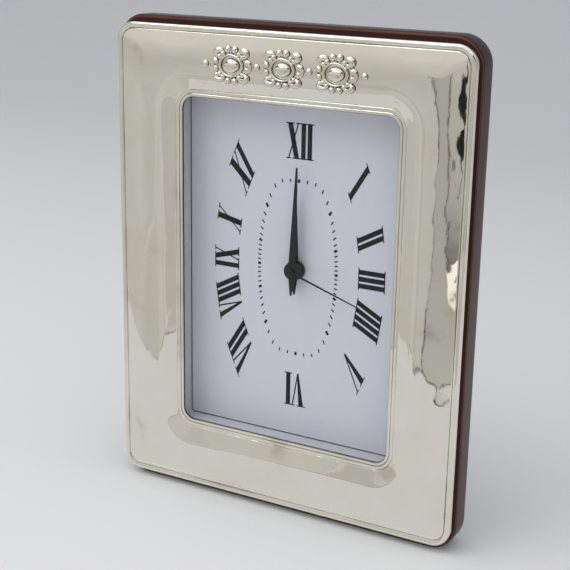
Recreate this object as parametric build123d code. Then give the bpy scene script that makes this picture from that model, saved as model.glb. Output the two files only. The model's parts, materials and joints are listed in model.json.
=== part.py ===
from build123d import *
import math
import os

# Photo frame clock: a pressed silver front on a wooden body, with a quartz clock behind its glass.
# Millimetres. +Z is up, +X is to the viewer's right, and the dial faces -Y.
# The origin is the middle of the flat foot under the wooden body.

os.makedirs("parts", exist_ok=True)

# Silver front
opening_width = 85.0
opening_height = 123.4
border_side = 26.5
border_height = 25.3
silver_corner = 7.2
opening_corner = 4.5
sheet_thickness = 0.5
panel_rise = 3.8
roll_width = 9.0
roll_drop = 2.7
roll_radius = 16.0
bead_radius = 1.4
groove_inset = 2.6
groove_width = 0.5
groove_depth = 0.25

# Ornament on the top border
medallion_spacing = 20.2
medallion_lobes = 12
medallion_radius = 7.6
lobe_depth = 0.9
medallion_rise = 0.7
collar_width = 10.0
collar_height = 8.4
collar_rise = 1.1
cabochon_width = 7.0
cabochon_height = 5.4
cabochon_rise = 2.2
link_bead_radius = 1.4
end_bead_distance = 10.6
ornament_root = 1.4
oval_sides = 16
dome_top_share = 0.2

# Wooden body
margin_side = 1.0
margin_bottom = 2.5
margin_top = 2.5
body_thickness = 14.0
body_corner = 10.0
front_round = 0.7
rear_round = 7.0

# Glass, spacer, dial and back panel, stacked from the front of the wooden body
pane_overlap_side = 4.8
pane_overlap_height = 3.3
pane_corner = 1.0
pane_clearance = 0.2
glass_thickness = 2.0
spacer_wall = 1.5
dial_depth = 9.6
sheet_dial_thickness = 0.4
board_thickness = 1.8
dial_offset = 1.4

# Movement housing
case_corner = 2.0
case_wall = 1.2
case_depth = 14.8
cover_thickness = 1.2
pad_size = 44.0
pad_thickness = 0.8
case_clearance = 1.0
bay_partition = 1.0
plate_level = 6.5
plate_thickness = 0.8
plate_ledge = 0.8
plate_clearance = 0.1
post_radius = 2.0
post_inset = 2.5
boss_radius = 3.4
boss_clearance = 0.1

# Arbors, tubes and fits
running_clearance = 0.06
second_arbor_radius = 0.5
minute_tube_radius = 1.6
hour_tube_radius = 2.5
clutch_sleeve_radius = 1.2
arbor_radius = 0.5
pivot_radius = 0.4
pivot_clearance = 0.05
pivot_length = 0.6
motion_post_radius = 0.6

# Wheels: tooth form and levels behind the inner front face of the case
pressure_angle = math.radians(20.0)
addendum = 0.8
dedendum = 1.2
tooth_share = 0.42
hour_level = 0.5
motion_level = 2.1
centre_level = 3.7
third_level = 5.2
second_level = 7.7
intermediate_level = 9.1
wheel_thickness = 0.9
motion_thickness = 1.0

# Tooth counts
rotor_pinion_teeth = 12
intermediate_wheel_teeth = 60
intermediate_pinion_teeth = 10
second_wheel_teeth = 60
second_pinion_teeth = 8
third_wheel_teeth = 60
third_pinion_teeth = 8
centre_wheel_teeth = 64
cannon_teeth = 12
motion_wheel_teeth = 36
motion_pinion_teeth = 10
hour_wheel_teeth = 40
setting_teeth = 12

# Distances between arbors, and the way each arbor lies from the one before it
third_distance = 9.0
third_bearing = math.radians(60.0)
intermediate_distance = 8.75
intermediate_bearing = math.radians(150.0)
rotor_distance = 7.92
rotor_bearing = math.radians(120.0)
motion_distance = 7.5
motion_bearing = math.radians(0.0)
setting_bearing = math.radians(0.0)

# Stepping motor and electronics
magnet_radius = 2.5
magnet_thickness = 2.0
stator_gap = 0.5
stator_level = 10.6
stator_thickness = 0.8
stator_side_gap = 6.3
stator_right = 8.5
stator_bar_height = 8.0
stator_arm_width = 3.5
coil_top_gap = 5.3
coil_radius = 1.7
core_height = 3.0
flange_thickness = 1.0
stud_radius = 1.0
board_left = 10.5
board_side_gap = 1.3
board_bottom = 3.0
board_top_gap = 6.8
circuit_thickness = 0.8
chip_size = 5.0
chip_rise = 1.0
crystal_radius = 1.1
crystal_length = 6.5

# Cell and contacts
cell_radius = 7.1
cell_length = 49.2
nub_radius = 2.75
nub_length = 1.3
cell_clearance = 0.2
contact_thickness = 0.4
contact_width = 9.0
contact_gap = 0.05
contact_room = 1.55

# Setting knob
knob_shaft_radius = 1.3
knob_radius = 5.0
knob_thickness = 3.0
knob_gap = 0.3
knob_flutes = 16
flute_depth = 0.25

# Hands, with the heights of their plates in front of the dial
hand_thickness = 0.4
hour_height = 1.9
minute_height = 3.9
second_height = 5.1
hour_length = 25.6
hour_tail = 9.1
hour_boss_radius = 3.6
hour_half_width = 1.6
minute_length = 38.0
minute_tail = 9.1
minute_boss_radius = 3.25
minute_half_width = 1.5
hand_tip_half_width = 0.3
boss_depth = 1.2
second_length = 28.4
second_half_width = 0.35
second_hub_radius = 1.0
second_hub_depth = 0.7
tube_stand_out = 0.1

# Time shown
minutes_shown = 0.3
seconds_shown = 18.0

# Strut and hinge
strut_reach = 46.0
strut_head = 4.0
strut_thickness = 7.0
strut_top_width = 8.0
strut_toe_height = 5.0
strut_sag = 5.0
strut_gap = 0.3
strut_chamfer = 1.0
knuckle_radius = 1.5
knuckle_gap = 0.1
hinge_pin_radius = 0.8
leaf_thickness = 0.8
leaf_width = 9.0
hinge_rise = 3.0
hinge_height = 26.0
knuckle_clearance = 0.3
leaf_relief = 0.3
hinge_screw_inset = 4.0
hinge_screw_radius = 0.7
hinge_screw_head = 1.4
frame_screw_depth = 1.8
strut_screw_depth = 5.0

# Turn buttons
button_length = 14.0
button_width = 6.0
button_thickness = 1.0
button_gap = 0.3
button_overlap = 5.0
button_setback = 4.7
button_rise = 30.0
button_screw_radius = 1.2
button_screw_depth = 5.0
screw_head_radius = 2.2
screw_head_rise = 1.0
screw_head_gap = 0.1

# Cover screws
cover_screw_radius = 0.8
cover_screw_depth = 5.0
cover_head_radius = 1.4
cover_head_rise = 0.9

# Places worked out from the sizes above
foot_depth = body_thickness - front_round - rear_round
front_y = -(front_round + foot_depth / 2)
silver_width = opening_width + 2 * border_side
silver_height = opening_height + 2 * border_height
pane_width = opening_width + 2 * pane_overlap_side
pane_height = opening_height + 2 * pane_overlap_height
rear_y = front_y + body_thickness
frame_centre_z = margin_bottom + silver_height / 2
body_width = silver_width + 2 * margin_side
body_height = margin_bottom + silver_height + margin_top
axis_z = frame_centre_z + dial_offset
panel_front = front_y - panel_rise
dial_y = front_y + dial_depth
board_front = dial_y + sheet_dial_thickness
board_back = board_front + board_thickness
case_front = board_back + pad_thickness
inside = case_front + case_wall
case_back = case_front + case_depth
cover_back = case_back + cover_thickness
case_size = cell_length + nub_length + 2 * (contact_room + case_wall)
cavity_half = case_size / 2 - case_wall
bay_height = 2 * (cell_radius + cell_clearance)
bay_bottom = -cavity_half
bay_top = bay_bottom + bay_height
cavity_bottom = bay_top + bay_partition
rebate_width = pane_width + 2 * pane_clearance
rebate_height = pane_height + 2 * pane_clearance
cutout_size = case_size + 2 * case_clearance
stator_left = stator_side_gap - cavity_half
coil_height = cavity_half - coil_top_gap
board_width = cavity_half - board_side_gap - board_left
board_height = cavity_half - board_top_gap - board_bottom
hour_tube_front = dial_y - hour_height - hand_thickness - tube_stand_out
minute_tube_front = dial_y - minute_height - hand_thickness - tube_stand_out
second_arbor_front = dial_y - second_height - hand_thickness - tube_stand_out


def placed(sketch, y):
    """Puts a sketch drawn in X and Z on the plane at depth y."""
    return Plane(origin=(0, y, 0), x_dir=(1, 0, 0), z_dir=(0, -1, 0)) * sketch


def slab(sketch, front, back):
    """Extrudes a sketch drawn in X and Z from one depth to another."""
    return extrude(placed(sketch, front), amount=back - front, dir=(0, 1, 0))


def disc(at, radius, front, back):
    """Makes a cylinder along Y."""
    return slab(Pos(at[0], at[1]) * Circle(radius), front, back)


def block(left, right, bottom, top, front, back):
    """Makes a box between two corners."""
    width = right - left
    height = top - bottom
    middle = Pos((left + right) / 2, (bottom + top) / 2)
    return slab(middle * Rectangle(width, height), front, back)


def upright(at, radius, bottom, top):
    """Makes a cylinder along Z, at a place given in X and Y."""
    return extrude(Plane(origin=(at[0], at[1], bottom)) * Circle(radius), amount=top - bottom)


def on_axis(place):
    """Moves a place given from the clock's axis into the frame."""
    return (place[0], axis_z + place[1])


def along(start, distance, bearing):
    """Gives the place at a distance and bearing from another."""
    return (start[0] + distance * math.cos(bearing), start[1] + distance * math.sin(bearing))


# Arbors, from the clock's axis
centre_at = (0.0, 0.0)
third_at = along(centre_at, third_distance, third_bearing)
intermediate_at = along(centre_at, intermediate_distance, intermediate_bearing)
rotor_at = along(intermediate_at, rotor_distance, rotor_bearing)
motion_at = along(centre_at, motion_distance, motion_bearing)
motion_module = 2 * motion_distance / (cannon_teeth + motion_wheel_teeth)
setting_distance = motion_module * (motion_wheel_teeth + setting_teeth) / 2
setting_at = along(motion_at, setting_distance, setting_bearing)

# Modules that put each pair of wheels in mesh
hour_module = 2 * motion_distance / (motion_pinion_teeth + hour_wheel_teeth)
centre_module = 2 * third_distance / (third_pinion_teeth + centre_wheel_teeth)
third_module = 2 * third_distance / (second_pinion_teeth + third_wheel_teeth)
second_module = 2 * intermediate_distance / (intermediate_pinion_teeth + second_wheel_teeth)
intermediate_module = 2 * rotor_distance / (rotor_pinion_teeth + intermediate_wheel_teeth)


def involute(angle):
    """Gives the involute function of an angle."""
    return math.tan(angle) - angle


def gear_face(teeth, module, turn):
    """Draws a gear whose flanks run between the involute's points at root and tip."""
    pitch_radius = module * teeth / 2
    base_radius = pitch_radius * math.cos(pressure_angle)
    root_radius = pitch_radius - dedendum * module
    tip_radius = pitch_radius + addendum * module

    def half_angle(radius):
        roll = math.acos(base_radius / max(radius, base_radius))
        return tooth_share * math.pi / teeth + involute(pressure_angle) - involute(roll)

    corners = []
    for tooth in range(teeth):
        middle = turn + 2 * math.pi * tooth / teeth
        for radius, side in ((root_radius, -1), (tip_radius, -1), (tip_radius, 1), (root_radius, 1)):
            angle = middle + side * half_angle(radius)
            corners.append((radius * math.cos(angle), radius * math.sin(angle)))
    return Polygon(*corners, align=None)


def gear(at, teeth, module, turn, level, thickness=wheel_thickness):
    """Makes a gear on an arbor, at a level behind the case's inner face."""
    place = on_axis(at)
    face = Pos(place[0], place[1]) * gear_face(teeth, module, turn)
    return slab(face, inside + level, inside + level + thickness)


def mating_turn(at, teeth, turn, other_at, other_teeth):
    """Turns a gear so that its gap meets the tooth of the gear it meshes with."""
    line = math.atan2(other_at[1] - at[1], other_at[0] - at[0])
    return line + math.pi - (turn - line) * teeth / other_teeth + math.pi / other_teeth


def rod(at, radius, start, end):
    """Makes a round arbor between two levels behind the case's inner face."""
    return disc(on_axis(at), radius, inside + start, inside + end)


# Levels of the bearings
cover_level = case_depth - case_wall
plate_back = plate_level + plate_thickness
bearing_radius = pivot_radius + pivot_clearance
cover_pivot_end = cover_level + pivot_length
plate_pivot_start = plate_level + (plate_thickness - pivot_length)


def front_form(inset):
    """Makes the bulk of the front, a distance inside its outer surface."""
    outline = RectangleRounded(silver_width - 2 * inset, silver_height - 2 * inset, silver_corner - inset)
    window = RectangleRounded(opening_width + 2 * inset, opening_height + 2 * inset, opening_corner + inset)
    form = slab(Pos(0, frame_centre_z) * (outline - window), panel_front + inset, front_y)
    face = form.faces().sort_by(Axis.Y)[0]
    roll_edges = face.inner_wires()[0].edges()
    form = chamfer(roll_edges, length=roll_width - inset, length2=roll_drop, reference=face)
    face = form.faces().sort_by(Axis.Y)[0]
    form = fillet(face.inner_wires()[0].edges(), roll_radius - inset)
    face = form.faces().sort_by(Axis.Y)[0]
    return fillet(face.outer_wire().edges(), bead_radius - inset)


def bead_groove():
    """Makes the fine groove that sets the outer bead off from the panel."""
    outer_inset = 2 * groove_inset
    inner_inset = outer_inset + 2 * groove_width
    outer_corner = silver_corner - groove_inset
    inner_corner = outer_corner - groove_width
    outer = RectangleRounded(silver_width - outer_inset, silver_height - outer_inset, outer_corner)
    inner = RectangleRounded(silver_width - inner_inset, silver_height - inner_inset, inner_corner)
    return slab(Pos(0, frame_centre_z) * (outer - inner), panel_front, panel_front + groove_depth)


def scalloped_face(radius, lobes, depth, points_per_lobe=4):
    """Draws a round outline with soft lobes."""
    corners = []
    count = lobes * points_per_lobe
    for step in range(count):
        angle = 2 * math.pi * step / count
        reach = radius - depth * (1 - math.cos(lobes * angle)) / 2
        corners.append((reach * math.cos(angle), reach * math.sin(angle)))
    return Polygon(*corners, align=None)


def oval_face(half_width, half_height):
    """Draws an oval with few sides."""
    corners = []
    for step in range(oval_sides):
        angle = 2 * math.pi * step / oval_sides
        corners.append((half_width * math.cos(angle), half_height * math.sin(angle)))
    return Polygon(*corners, align=None)


def raised(at, levels):
    """Lofts faces that stand at given heights on the panel, with a root down into the sheet."""
    place = Pos(at[0], at[1])
    root = placed(place * levels[0][0], panel_front + ornament_root)
    return loft([root] + [placed(place * face, panel_front - height) for face, height in levels], ruled=True)


def dome(at, half_width, half_height, rise):
    """Makes an oval dome with few faces."""
    levels = []
    for share in (0.0, 0.5, 0.85, 1.0):
        spread = max(math.sqrt(1 - share ** 2), dome_top_share)
        levels.append((oval_face(half_width * spread, half_height * spread), share * rise))
    return raised(at, levels)


def medallion(at):
    """Makes one oval cabochon in its collar on a lobed base."""
    top_radius = medallion_radius - medallion_rise / 2
    base = raised(at, [(scalloped_face(medallion_radius, medallion_lobes, lobe_depth), 0.0),
                       (scalloped_face(top_radius, medallion_lobes, lobe_depth), medallion_rise)])
    collar_side = collar_width / 2
    collar_end = collar_height / 2
    slope = (collar_rise - medallion_rise) / 2
    wall = oval_face(collar_side, collar_end)
    rim = oval_face(collar_side - slope, collar_end - slope)
    collar = raised(at, [(wall, 0.0), (wall, medallion_rise), (rim, collar_rise)])
    return base + collar + dome(at, cabochon_width / 2, cabochon_height / 2, cabochon_rise)


def ornament():
    """Makes the row of medallions with the beads that link and end it."""
    height = frame_centre_z + (opening_height + silver_height) / 4
    pieces = []
    for step in (-1, 0, 1):
        pieces.append(medallion((step * medallion_spacing, height)))
    for side in (-1, 1):
        link = side * medallion_spacing / 2
        pieces.append(dome((link, height), link_bead_radius, link_bead_radius, link_bead_radius))
        end = side * (medallion_spacing + end_bead_distance)
        pieces.append(dome((end, height), link_bead_radius, link_bead_radius, link_bead_radius))
    return pieces


def make_silver_front():
    """Makes the pressed sheet with its groove and ornament."""
    sheet = front_form(0.0) - bead_groove()
    for piece in ornament():
        sheet += piece
    return sheet - front_form(sheet_thickness)


def make_wood_body():
    """Makes the wooden body with its rounded rear edge and its through rebate."""
    outline = Pos(0, body_height / 2) * RectangleRounded(body_width, body_height, body_corner)
    body = slab(outline, front_y, rear_y)
    body = fillet(body.faces().sort_by(Axis.Y)[-1].outer_wire().edges(), rear_round)
    body = fillet(body.faces().sort_by(Axis.Y)[0].outer_wire().edges(), front_round)
    rebate = RectangleRounded(rebate_width, rebate_height, pane_corner + pane_clearance)
    body -= slab(Pos(0, frame_centre_z) * rebate, front_y, rear_y)
    for at in button_places():
        body -= disc(at, button_screw_radius, rear_y - button_screw_depth, rear_y)
    return body


def pane_outline():
    """Draws the outline shared by the pieces that lie in the rebate."""
    return Pos(0, frame_centre_z) * RectangleRounded(pane_width, pane_height, pane_corner)


def make_glass():
    """Makes the pane behind the lip."""
    return slab(pane_outline(), front_y, front_y + glass_thickness)


def make_dial_spacer():
    """Makes the four-sided frame between glass and dial."""
    inner = Pos(0, frame_centre_z) * Rectangle(pane_width - 2 * spacer_wall, pane_height - 2 * spacer_wall)
    return slab(pane_outline() - inner, front_y + glass_thickness, dial_y)


def make_dial_sheet():
    """Makes the printed sheet, with a hole that the hour tube passes."""
    hole = Pos(0, axis_z) * Circle(hour_tube_radius + running_clearance + boss_clearance)
    return slab(pane_outline() - hole, dial_y, board_front)


def make_dial_board():
    """Makes the board that carries the movement."""
    hole = Pos(0, axis_z) * Circle(boss_radius + boss_clearance)
    return slab(pane_outline() - hole, board_front, board_back)


def make_mounting_pad():
    """Makes the adhesive pad between the case and the dial board."""
    pad = RectangleRounded(pad_size, pad_size, case_corner) - Circle(boss_radius + boss_clearance)
    return slab(Pos(0, axis_z) * pad, board_back, case_front)


def make_back_panel():
    """Makes the removable panel, with the cut-out for the movement."""
    cutout = Pos(0, axis_z) * RectangleRounded(cutout_size, cutout_size, case_corner)
    panel = slab(pane_outline() - cutout, board_back, rear_y)
    for x, z in frame_screw_places():
        panel -= disc((x, z), hinge_screw_radius, rear_y - frame_screw_depth, rear_y)
    return panel


# Hinge of the strut: its pin stands upright beside the strut's left face
strut_left = -strut_thickness / 2
pin_x = strut_left - knuckle_radius - knuckle_gap
pin_y = rear_y + knuckle_radius + knuckle_gap
hinge_bottom = frame_centre_z - pane_height / 2 + hinge_rise
hinge_top = hinge_bottom + hinge_height
strut_height = hinge_top + strut_head
knuckle_length = (hinge_height - 2 * knuckle_clearance) / 3
lower_knuckle_top = hinge_bottom + knuckle_length
middle_knuckle_bottom = lower_knuckle_top + knuckle_clearance
middle_knuckle_top = middle_knuckle_bottom + knuckle_length
upper_knuckle_bottom = middle_knuckle_top + knuckle_clearance
leaf_start = knuckle_radius + leaf_relief
screw_heights = (hinge_bottom + hinge_screw_inset, hinge_top - hinge_screw_inset)
screw_reach = (leaf_start + leaf_width) / 2


def frame_screw_places():
    """Gives the places of the screws in the panel, in X and Z."""
    return [(pin_x - screw_reach, z) for z in screw_heights]


def strut_screw_places():
    """Gives the places of the screws in the strut, in Y and Z."""
    return [(pin_y + screw_reach, z) for z in screw_heights]


def countersunk_screw(depth):
    """Makes a countersunk screw with its flat head on the XY plane, pointing along -Z."""
    head = Cone(hinge_screw_radius, hinge_screw_head, leaf_thickness)
    shank = Cylinder(hinge_screw_radius, depth + leaf_thickness)
    return Pos(0, 0, -leaf_thickness / 2) * head + Pos(0, 0, -(depth + leaf_thickness) / 2) * shank


def frame_screws():
    """Makes the screws that hold the fixed leaf to the panel."""
    screw = countersunk_screw(frame_screw_depth)
    facing = Rot(-90, 0, 0)
    return [Pos(x, rear_y + leaf_thickness, z) * facing * screw for x, z in frame_screw_places()]


def strut_screws():
    """Makes the screws that hold the moving leaf to the strut."""
    screw = countersunk_screw(strut_screw_depth)
    facing = Rot(0, -90, 0)
    return [Pos(strut_left - leaf_thickness, y, z) * facing * screw for y, z in strut_screw_places()]


def make_hinge_frame_leaf():
    """Makes the fixed leaf with its two knuckles."""
    middle_z = (hinge_bottom + hinge_top) / 2
    place = Pos(pin_x - screw_reach, rear_y + leaf_thickness / 2, middle_z)
    leaf = place * Box(leaf_width - leaf_start, leaf_thickness, hinge_height)
    for bottom, top in ((hinge_bottom, lower_knuckle_top), (upper_knuckle_bottom, hinge_top)):
        tongue = Pos(pin_x - leaf_start / 2, rear_y + leaf_thickness / 2, (bottom + top) / 2)
        leaf += tongue * Box(leaf_start, leaf_thickness, top - bottom)
        leaf += upright((pin_x, pin_y), knuckle_radius, bottom, top)
    leaf -= upright((pin_x, pin_y), hinge_pin_radius, hinge_bottom, hinge_top)
    for screw in frame_screws():
        leaf -= screw
    return leaf


def make_hinge_strut_leaf():
    """Makes the moving leaf with its middle knuckle."""
    middle_z = (hinge_bottom + hinge_top) / 2
    place = Pos(strut_left - leaf_thickness / 2, pin_y + screw_reach, middle_z)
    leaf = place * Box(leaf_thickness, leaf_width - leaf_start, hinge_height)
    tongue = Pos(strut_left - leaf_thickness / 2, pin_y + leaf_start / 2, middle_z)
    leaf += tongue * Box(leaf_thickness, leaf_start, knuckle_length)
    leaf += upright((pin_x, pin_y), knuckle_radius, middle_knuckle_bottom, middle_knuckle_top)
    leaf -= upright((pin_x, pin_y), hinge_pin_radius + running_clearance, hinge_bottom, hinge_top)
    for screw in strut_screws():
        leaf -= screw
    return leaf


def make_hinge_pin():
    """Makes the pin of the hinge."""
    return upright((pin_x, pin_y), hinge_pin_radius, hinge_bottom, hinge_top)


def make_strut_leg():
    """Makes the wooden leg that stands out of the back, hollowed along its rear edge."""
    near = rear_y + strut_gap
    far = near + strut_reach
    shoulder = near + strut_top_width
    heel = (near, 0)
    toe = (far, 0)
    toe_top = (far, strut_toe_height)
    top_rear = (shoulder, strut_height)
    top_front = (near, strut_height)
    middle = ((far + shoulder) / 2 - strut_sag, (strut_toe_height + strut_height) / 2 - strut_sag)
    outline = Polyline(top_rear, top_front, heel, toe, toe_top) + ThreePointArc(toe_top, middle, top_rear)
    side = Plane(origin=(strut_left, 0, 0), x_dir=(0, 1, 0), z_dir=(1, 0, 0))
    leg = extrude(side * make_face(outline), amount=strut_thickness)
    hollow_edges = [edge for edge in leg.edges() if edge.geom_type == GeomType.CIRCLE]
    leg = chamfer(hollow_edges, strut_chamfer)
    for screw in strut_screws():
        leg -= screw
    return leg


def button_places():
    """Gives the pivots of the turn buttons, in X and Z."""
    across = pane_width / 2 + button_setback
    return [(side * across, axis_z + rise * button_rise) for rise in (1, -1) for side in (-1, 1)]


def make_turn_button(at):
    """Makes one brass turn button that reaches over the panel's edge."""
    side = math.copysign(1, at[0])
    inner = button_setback + button_overlap
    middle = at[0] - side * (inner - button_length / 2)
    front = rear_y + button_gap
    back = front + button_thickness
    plate = slab(Pos(middle, at[1]) * SlotOverall(button_length, button_width), front, back)
    return plate - disc(at, button_screw_radius + running_clearance, front, back)


def make_turn_button_screws():
    """Makes the pan-head screws that the turn buttons swing on."""
    head_front = rear_y + button_gap + button_thickness + screw_head_gap
    screws = []
    for at in button_places():
        screw = disc(at, button_screw_radius, rear_y - button_screw_depth, head_front)
        screw += disc(at, screw_head_radius, head_front, head_front + screw_head_rise)
        screws.append(screw)
    return Compound(children=screws)


def case_posts():
    """Gives the places of the posts that take the cover's screws."""
    side = cavity_half - post_inset
    return [(-side, cavity_half - post_inset), (side, cavity_half - post_inset),
            (-side, cavity_bottom + post_inset), (side, cavity_bottom + post_inset)]


def cavity(margin, foot_margin, front, back):
    """Makes the space for the wheels, a margin inside its walls and another above the partition."""
    side = cavity_half - margin
    foot = axis_z + cavity_bottom + foot_margin
    return block(-side, side, foot, axis_z + side, inside + front, inside + back)


def make_movement_case():
    """Makes the tray of the movement, with its boss, posts, bearings and battery bay."""
    shell = slab(Pos(0, axis_z) * RectangleRounded(case_size, case_size, case_corner), case_front, case_back)
    shell -= cavity(plate_ledge, 0, 0, plate_level)
    shell -= cavity(0, 0, plate_level, cover_level)
    shell -= block(-cavity_half, cavity_half, axis_z + bay_bottom, axis_z + bay_top, inside, case_back)
    shell += disc((0, axis_z), boss_radius, board_front, case_front)
    shell -= disc((0, axis_z), hour_tube_radius + running_clearance, board_front, inside)
    shell += rod(motion_at, motion_post_radius, 0, centre_level - running_clearance - pivot_clearance)
    for at in case_posts():
        shell += rod(at, post_radius, 0, cover_level)
        shell -= rod(at, cover_screw_radius, cover_level - cover_screw_depth, cover_level)
    for at in (third_at, setting_at):
        shell -= rod(at, bearing_radius, -pivot_length - pivot_clearance, 0)
    return shell


def make_movement_cover():
    """Makes the lid over the wheels, with its bearings and the hole for the setting shaft."""
    bottom = axis_z + bay_top
    top = axis_z + case_size / 2
    outline = Pos(0, (bottom + top) / 2) * RectangleRounded(case_size, top - bottom, case_corner)
    cover = slab(outline, case_back, cover_back)
    cover -= rod(setting_at, knob_shaft_radius + running_clearance, cover_level, cover_level + cover_thickness)
    for at in (centre_at, intermediate_at, rotor_at):
        cover -= rod(at, bearing_radius, cover_level, cover_pivot_end + pivot_clearance)
    for at in case_posts():
        cover -= rod(at, cover_screw_radius, cover_level, cover_level + cover_thickness)
    return cover


def make_cover_screws():
    """Makes the four screws of the cover."""
    outside = cover_level + cover_thickness
    screws = []
    for at in case_posts():
        screw = rod(at, cover_screw_radius, cover_level - cover_screw_depth, outside)
        screw += rod(at, cover_head_radius, outside, outside + cover_head_rise)
        screws.append(screw)
    return Compound(children=screws)


def make_train_plate():
    """Makes the plate that carries the inner pivots and the studs of the motor."""
    plate = cavity(plate_clearance, plate_clearance, plate_level, plate_back)
    for at in case_posts():
        plate -= rod(at, post_radius + plate_clearance, plate_level, plate_back)
    plate -= rod(centre_at, second_arbor_radius + running_clearance, plate_level, plate_back)
    plate -= rod(setting_at, knob_shaft_radius + plate_clearance, plate_level, plate_back)
    for at in (third_at, intermediate_at, rotor_at):
        plate -= rod(at, bearing_radius, plate_level, plate_back)
    for x in (stator_left + stator_arm_width / 2, stator_right - stator_arm_width / 2):
        plate += rod((x, rotor_at[1]), stud_radius, plate_back, stator_level)
    return plate


# Turns of the gears that put the train in mesh at rest
centre_turn = 0.0
third_pinion_turn = mating_turn(centre_at, centre_wheel_teeth, centre_turn, third_at, third_pinion_teeth)
second_pinion_turn = 0.0
third_wheel_turn = mating_turn(centre_at, second_pinion_teeth, second_pinion_turn, third_at, third_wheel_teeth)
second_wheel_turn = 0.0
intermediate_pinion_turn = mating_turn(centre_at, second_wheel_teeth, second_wheel_turn, intermediate_at,
                                       intermediate_pinion_teeth)
intermediate_wheel_turn = 0.0
rotor_turn = mating_turn(intermediate_at, intermediate_wheel_teeth, intermediate_wheel_turn, rotor_at,
                         rotor_pinion_teeth)
cannon_turn = 0.0
motion_wheel_turn = mating_turn(centre_at, cannon_teeth, cannon_turn, motion_at, motion_wheel_teeth)
hour_wheel_turn = 0.0
motion_pinion_turn = mating_turn(centre_at, hour_wheel_teeth, hour_wheel_turn, motion_at, motion_pinion_teeth)
setting_turn = mating_turn(motion_at, motion_wheel_teeth, motion_wheel_turn, setting_at, setting_teeth)


def make_hour_wheel():
    """Makes the hour wheel with the tube that carries the hour hand."""
    wheel = gear(centre_at, hour_wheel_teeth, hour_module, hour_wheel_turn, hour_level, motion_thickness)
    back = inside + hour_level + motion_thickness
    wheel += disc((0, axis_z), hour_tube_radius, hour_tube_front, back)
    return wheel - disc((0, axis_z), minute_tube_radius + running_clearance, hour_tube_front, back)


def make_cannon_pinion():
    """Makes the minute tube with its pinion and the sleeve of the slip clutch."""
    back = inside + centre_level + wheel_thickness + pivot_clearance
    pinion = gear(centre_at, cannon_teeth, motion_module, cannon_turn, motion_level, motion_thickness)
    pinion += disc((0, axis_z), minute_tube_radius, minute_tube_front, inside + motion_level)
    pinion += disc((0, axis_z), clutch_sleeve_radius, inside + motion_level, back)
    return pinion - disc((0, axis_z), second_arbor_radius + running_clearance, minute_tube_front, back)


def make_motion_wheel():
    """Makes the motion wheel and pinion, which turn on the case's post."""
    back = motion_level + motion_thickness
    length = motion_level - hour_level
    wheel = gear(motion_at, motion_wheel_teeth, motion_module, motion_wheel_turn, motion_level, motion_thickness)
    wheel += gear(motion_at, motion_pinion_teeth, hour_module, motion_pinion_turn, hour_level, length)
    return wheel - rod(motion_at, motion_post_radius + running_clearance, hour_level, back)


def make_setting_knob():
    """Makes the setting shaft with its pinion and its fluted knob outside the cover."""
    outside = cover_level + cover_thickness + knob_gap
    knob = gear(setting_at, setting_teeth, motion_module, setting_turn, motion_level, motion_thickness)
    knob += rod(setting_at, pivot_radius, -pivot_length, motion_level)
    knob += rod(setting_at, knob_shaft_radius, motion_level + motion_thickness, outside)
    place = on_axis(setting_at)
    grip = Pos(place[0], place[1]) * scalloped_face(knob_radius, knob_flutes, flute_depth)
    return knob + slab(grip, inside + outside, inside + outside + knob_thickness)


def make_centre_wheel():
    """Makes the centre wheel, which grips the sleeve of the minute tube as a slip clutch."""
    wheel = gear(centre_at, centre_wheel_teeth, centre_module, centre_turn, centre_level)
    bore = clutch_sleeve_radius + running_clearance
    return wheel - rod(centre_at, bore, centre_level, centre_level + wheel_thickness)


def make_third_wheel():
    """Makes the third wheel and pinion on their arbor."""
    wheel = gear(third_at, third_wheel_teeth, third_module, third_wheel_turn, third_level)
    length = third_level - centre_level
    wheel += gear(third_at, third_pinion_teeth, centre_module, third_pinion_turn, centre_level, length)
    wheel += rod(third_at, pivot_radius, -pivot_length, plate_pivot_start + pivot_length)
    return wheel + rod(third_at, arbor_radius, pivot_clearance, plate_level - pivot_clearance)


def make_second_wheel():
    """Makes the second wheel on the long arbor that carries the second hand."""
    wheel = gear(centre_at, second_wheel_teeth, second_module, second_wheel_turn, second_level)
    wheel += gear(centre_at, second_pinion_teeth, third_module, second_pinion_turn, third_level)
    wheel += disc((0, axis_z), second_arbor_radius, second_arbor_front, inside + cover_level - pivot_clearance)
    return wheel + rod(centre_at, pivot_radius, second_level, cover_pivot_end)


def make_intermediate_wheel():
    """Makes the intermediate wheel and pinion on their arbor."""
    wheel = gear(intermediate_at, intermediate_wheel_teeth, intermediate_module, intermediate_wheel_turn,
                 intermediate_level)
    length = intermediate_level - second_level
    wheel += gear(intermediate_at, intermediate_pinion_teeth, second_module, intermediate_pinion_turn,
                  second_level, length)
    wheel += rod(intermediate_at, pivot_radius, plate_pivot_start, cover_pivot_end)
    arbor_start = plate_back + pivot_clearance
    return wheel + rod(intermediate_at, arbor_radius, arbor_start, cover_level - pivot_clearance)


def make_rotor():
    """Makes the rotor: a disc magnet and a pinion on one arbor."""
    magnet_start = stator_level + (stator_thickness - magnet_thickness) / 2
    rotor = gear(rotor_at, rotor_pinion_teeth, intermediate_module, rotor_turn, intermediate_level,
                 magnet_start - intermediate_level)
    rotor += rod(rotor_at, magnet_radius, magnet_start, magnet_start + magnet_thickness)
    rotor += rod(rotor_at, pivot_radius, plate_pivot_start, cover_pivot_end)
    return rotor + rod(rotor_at, arbor_radius, plate_back + pivot_clearance, cover_level - pivot_clearance)


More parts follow.
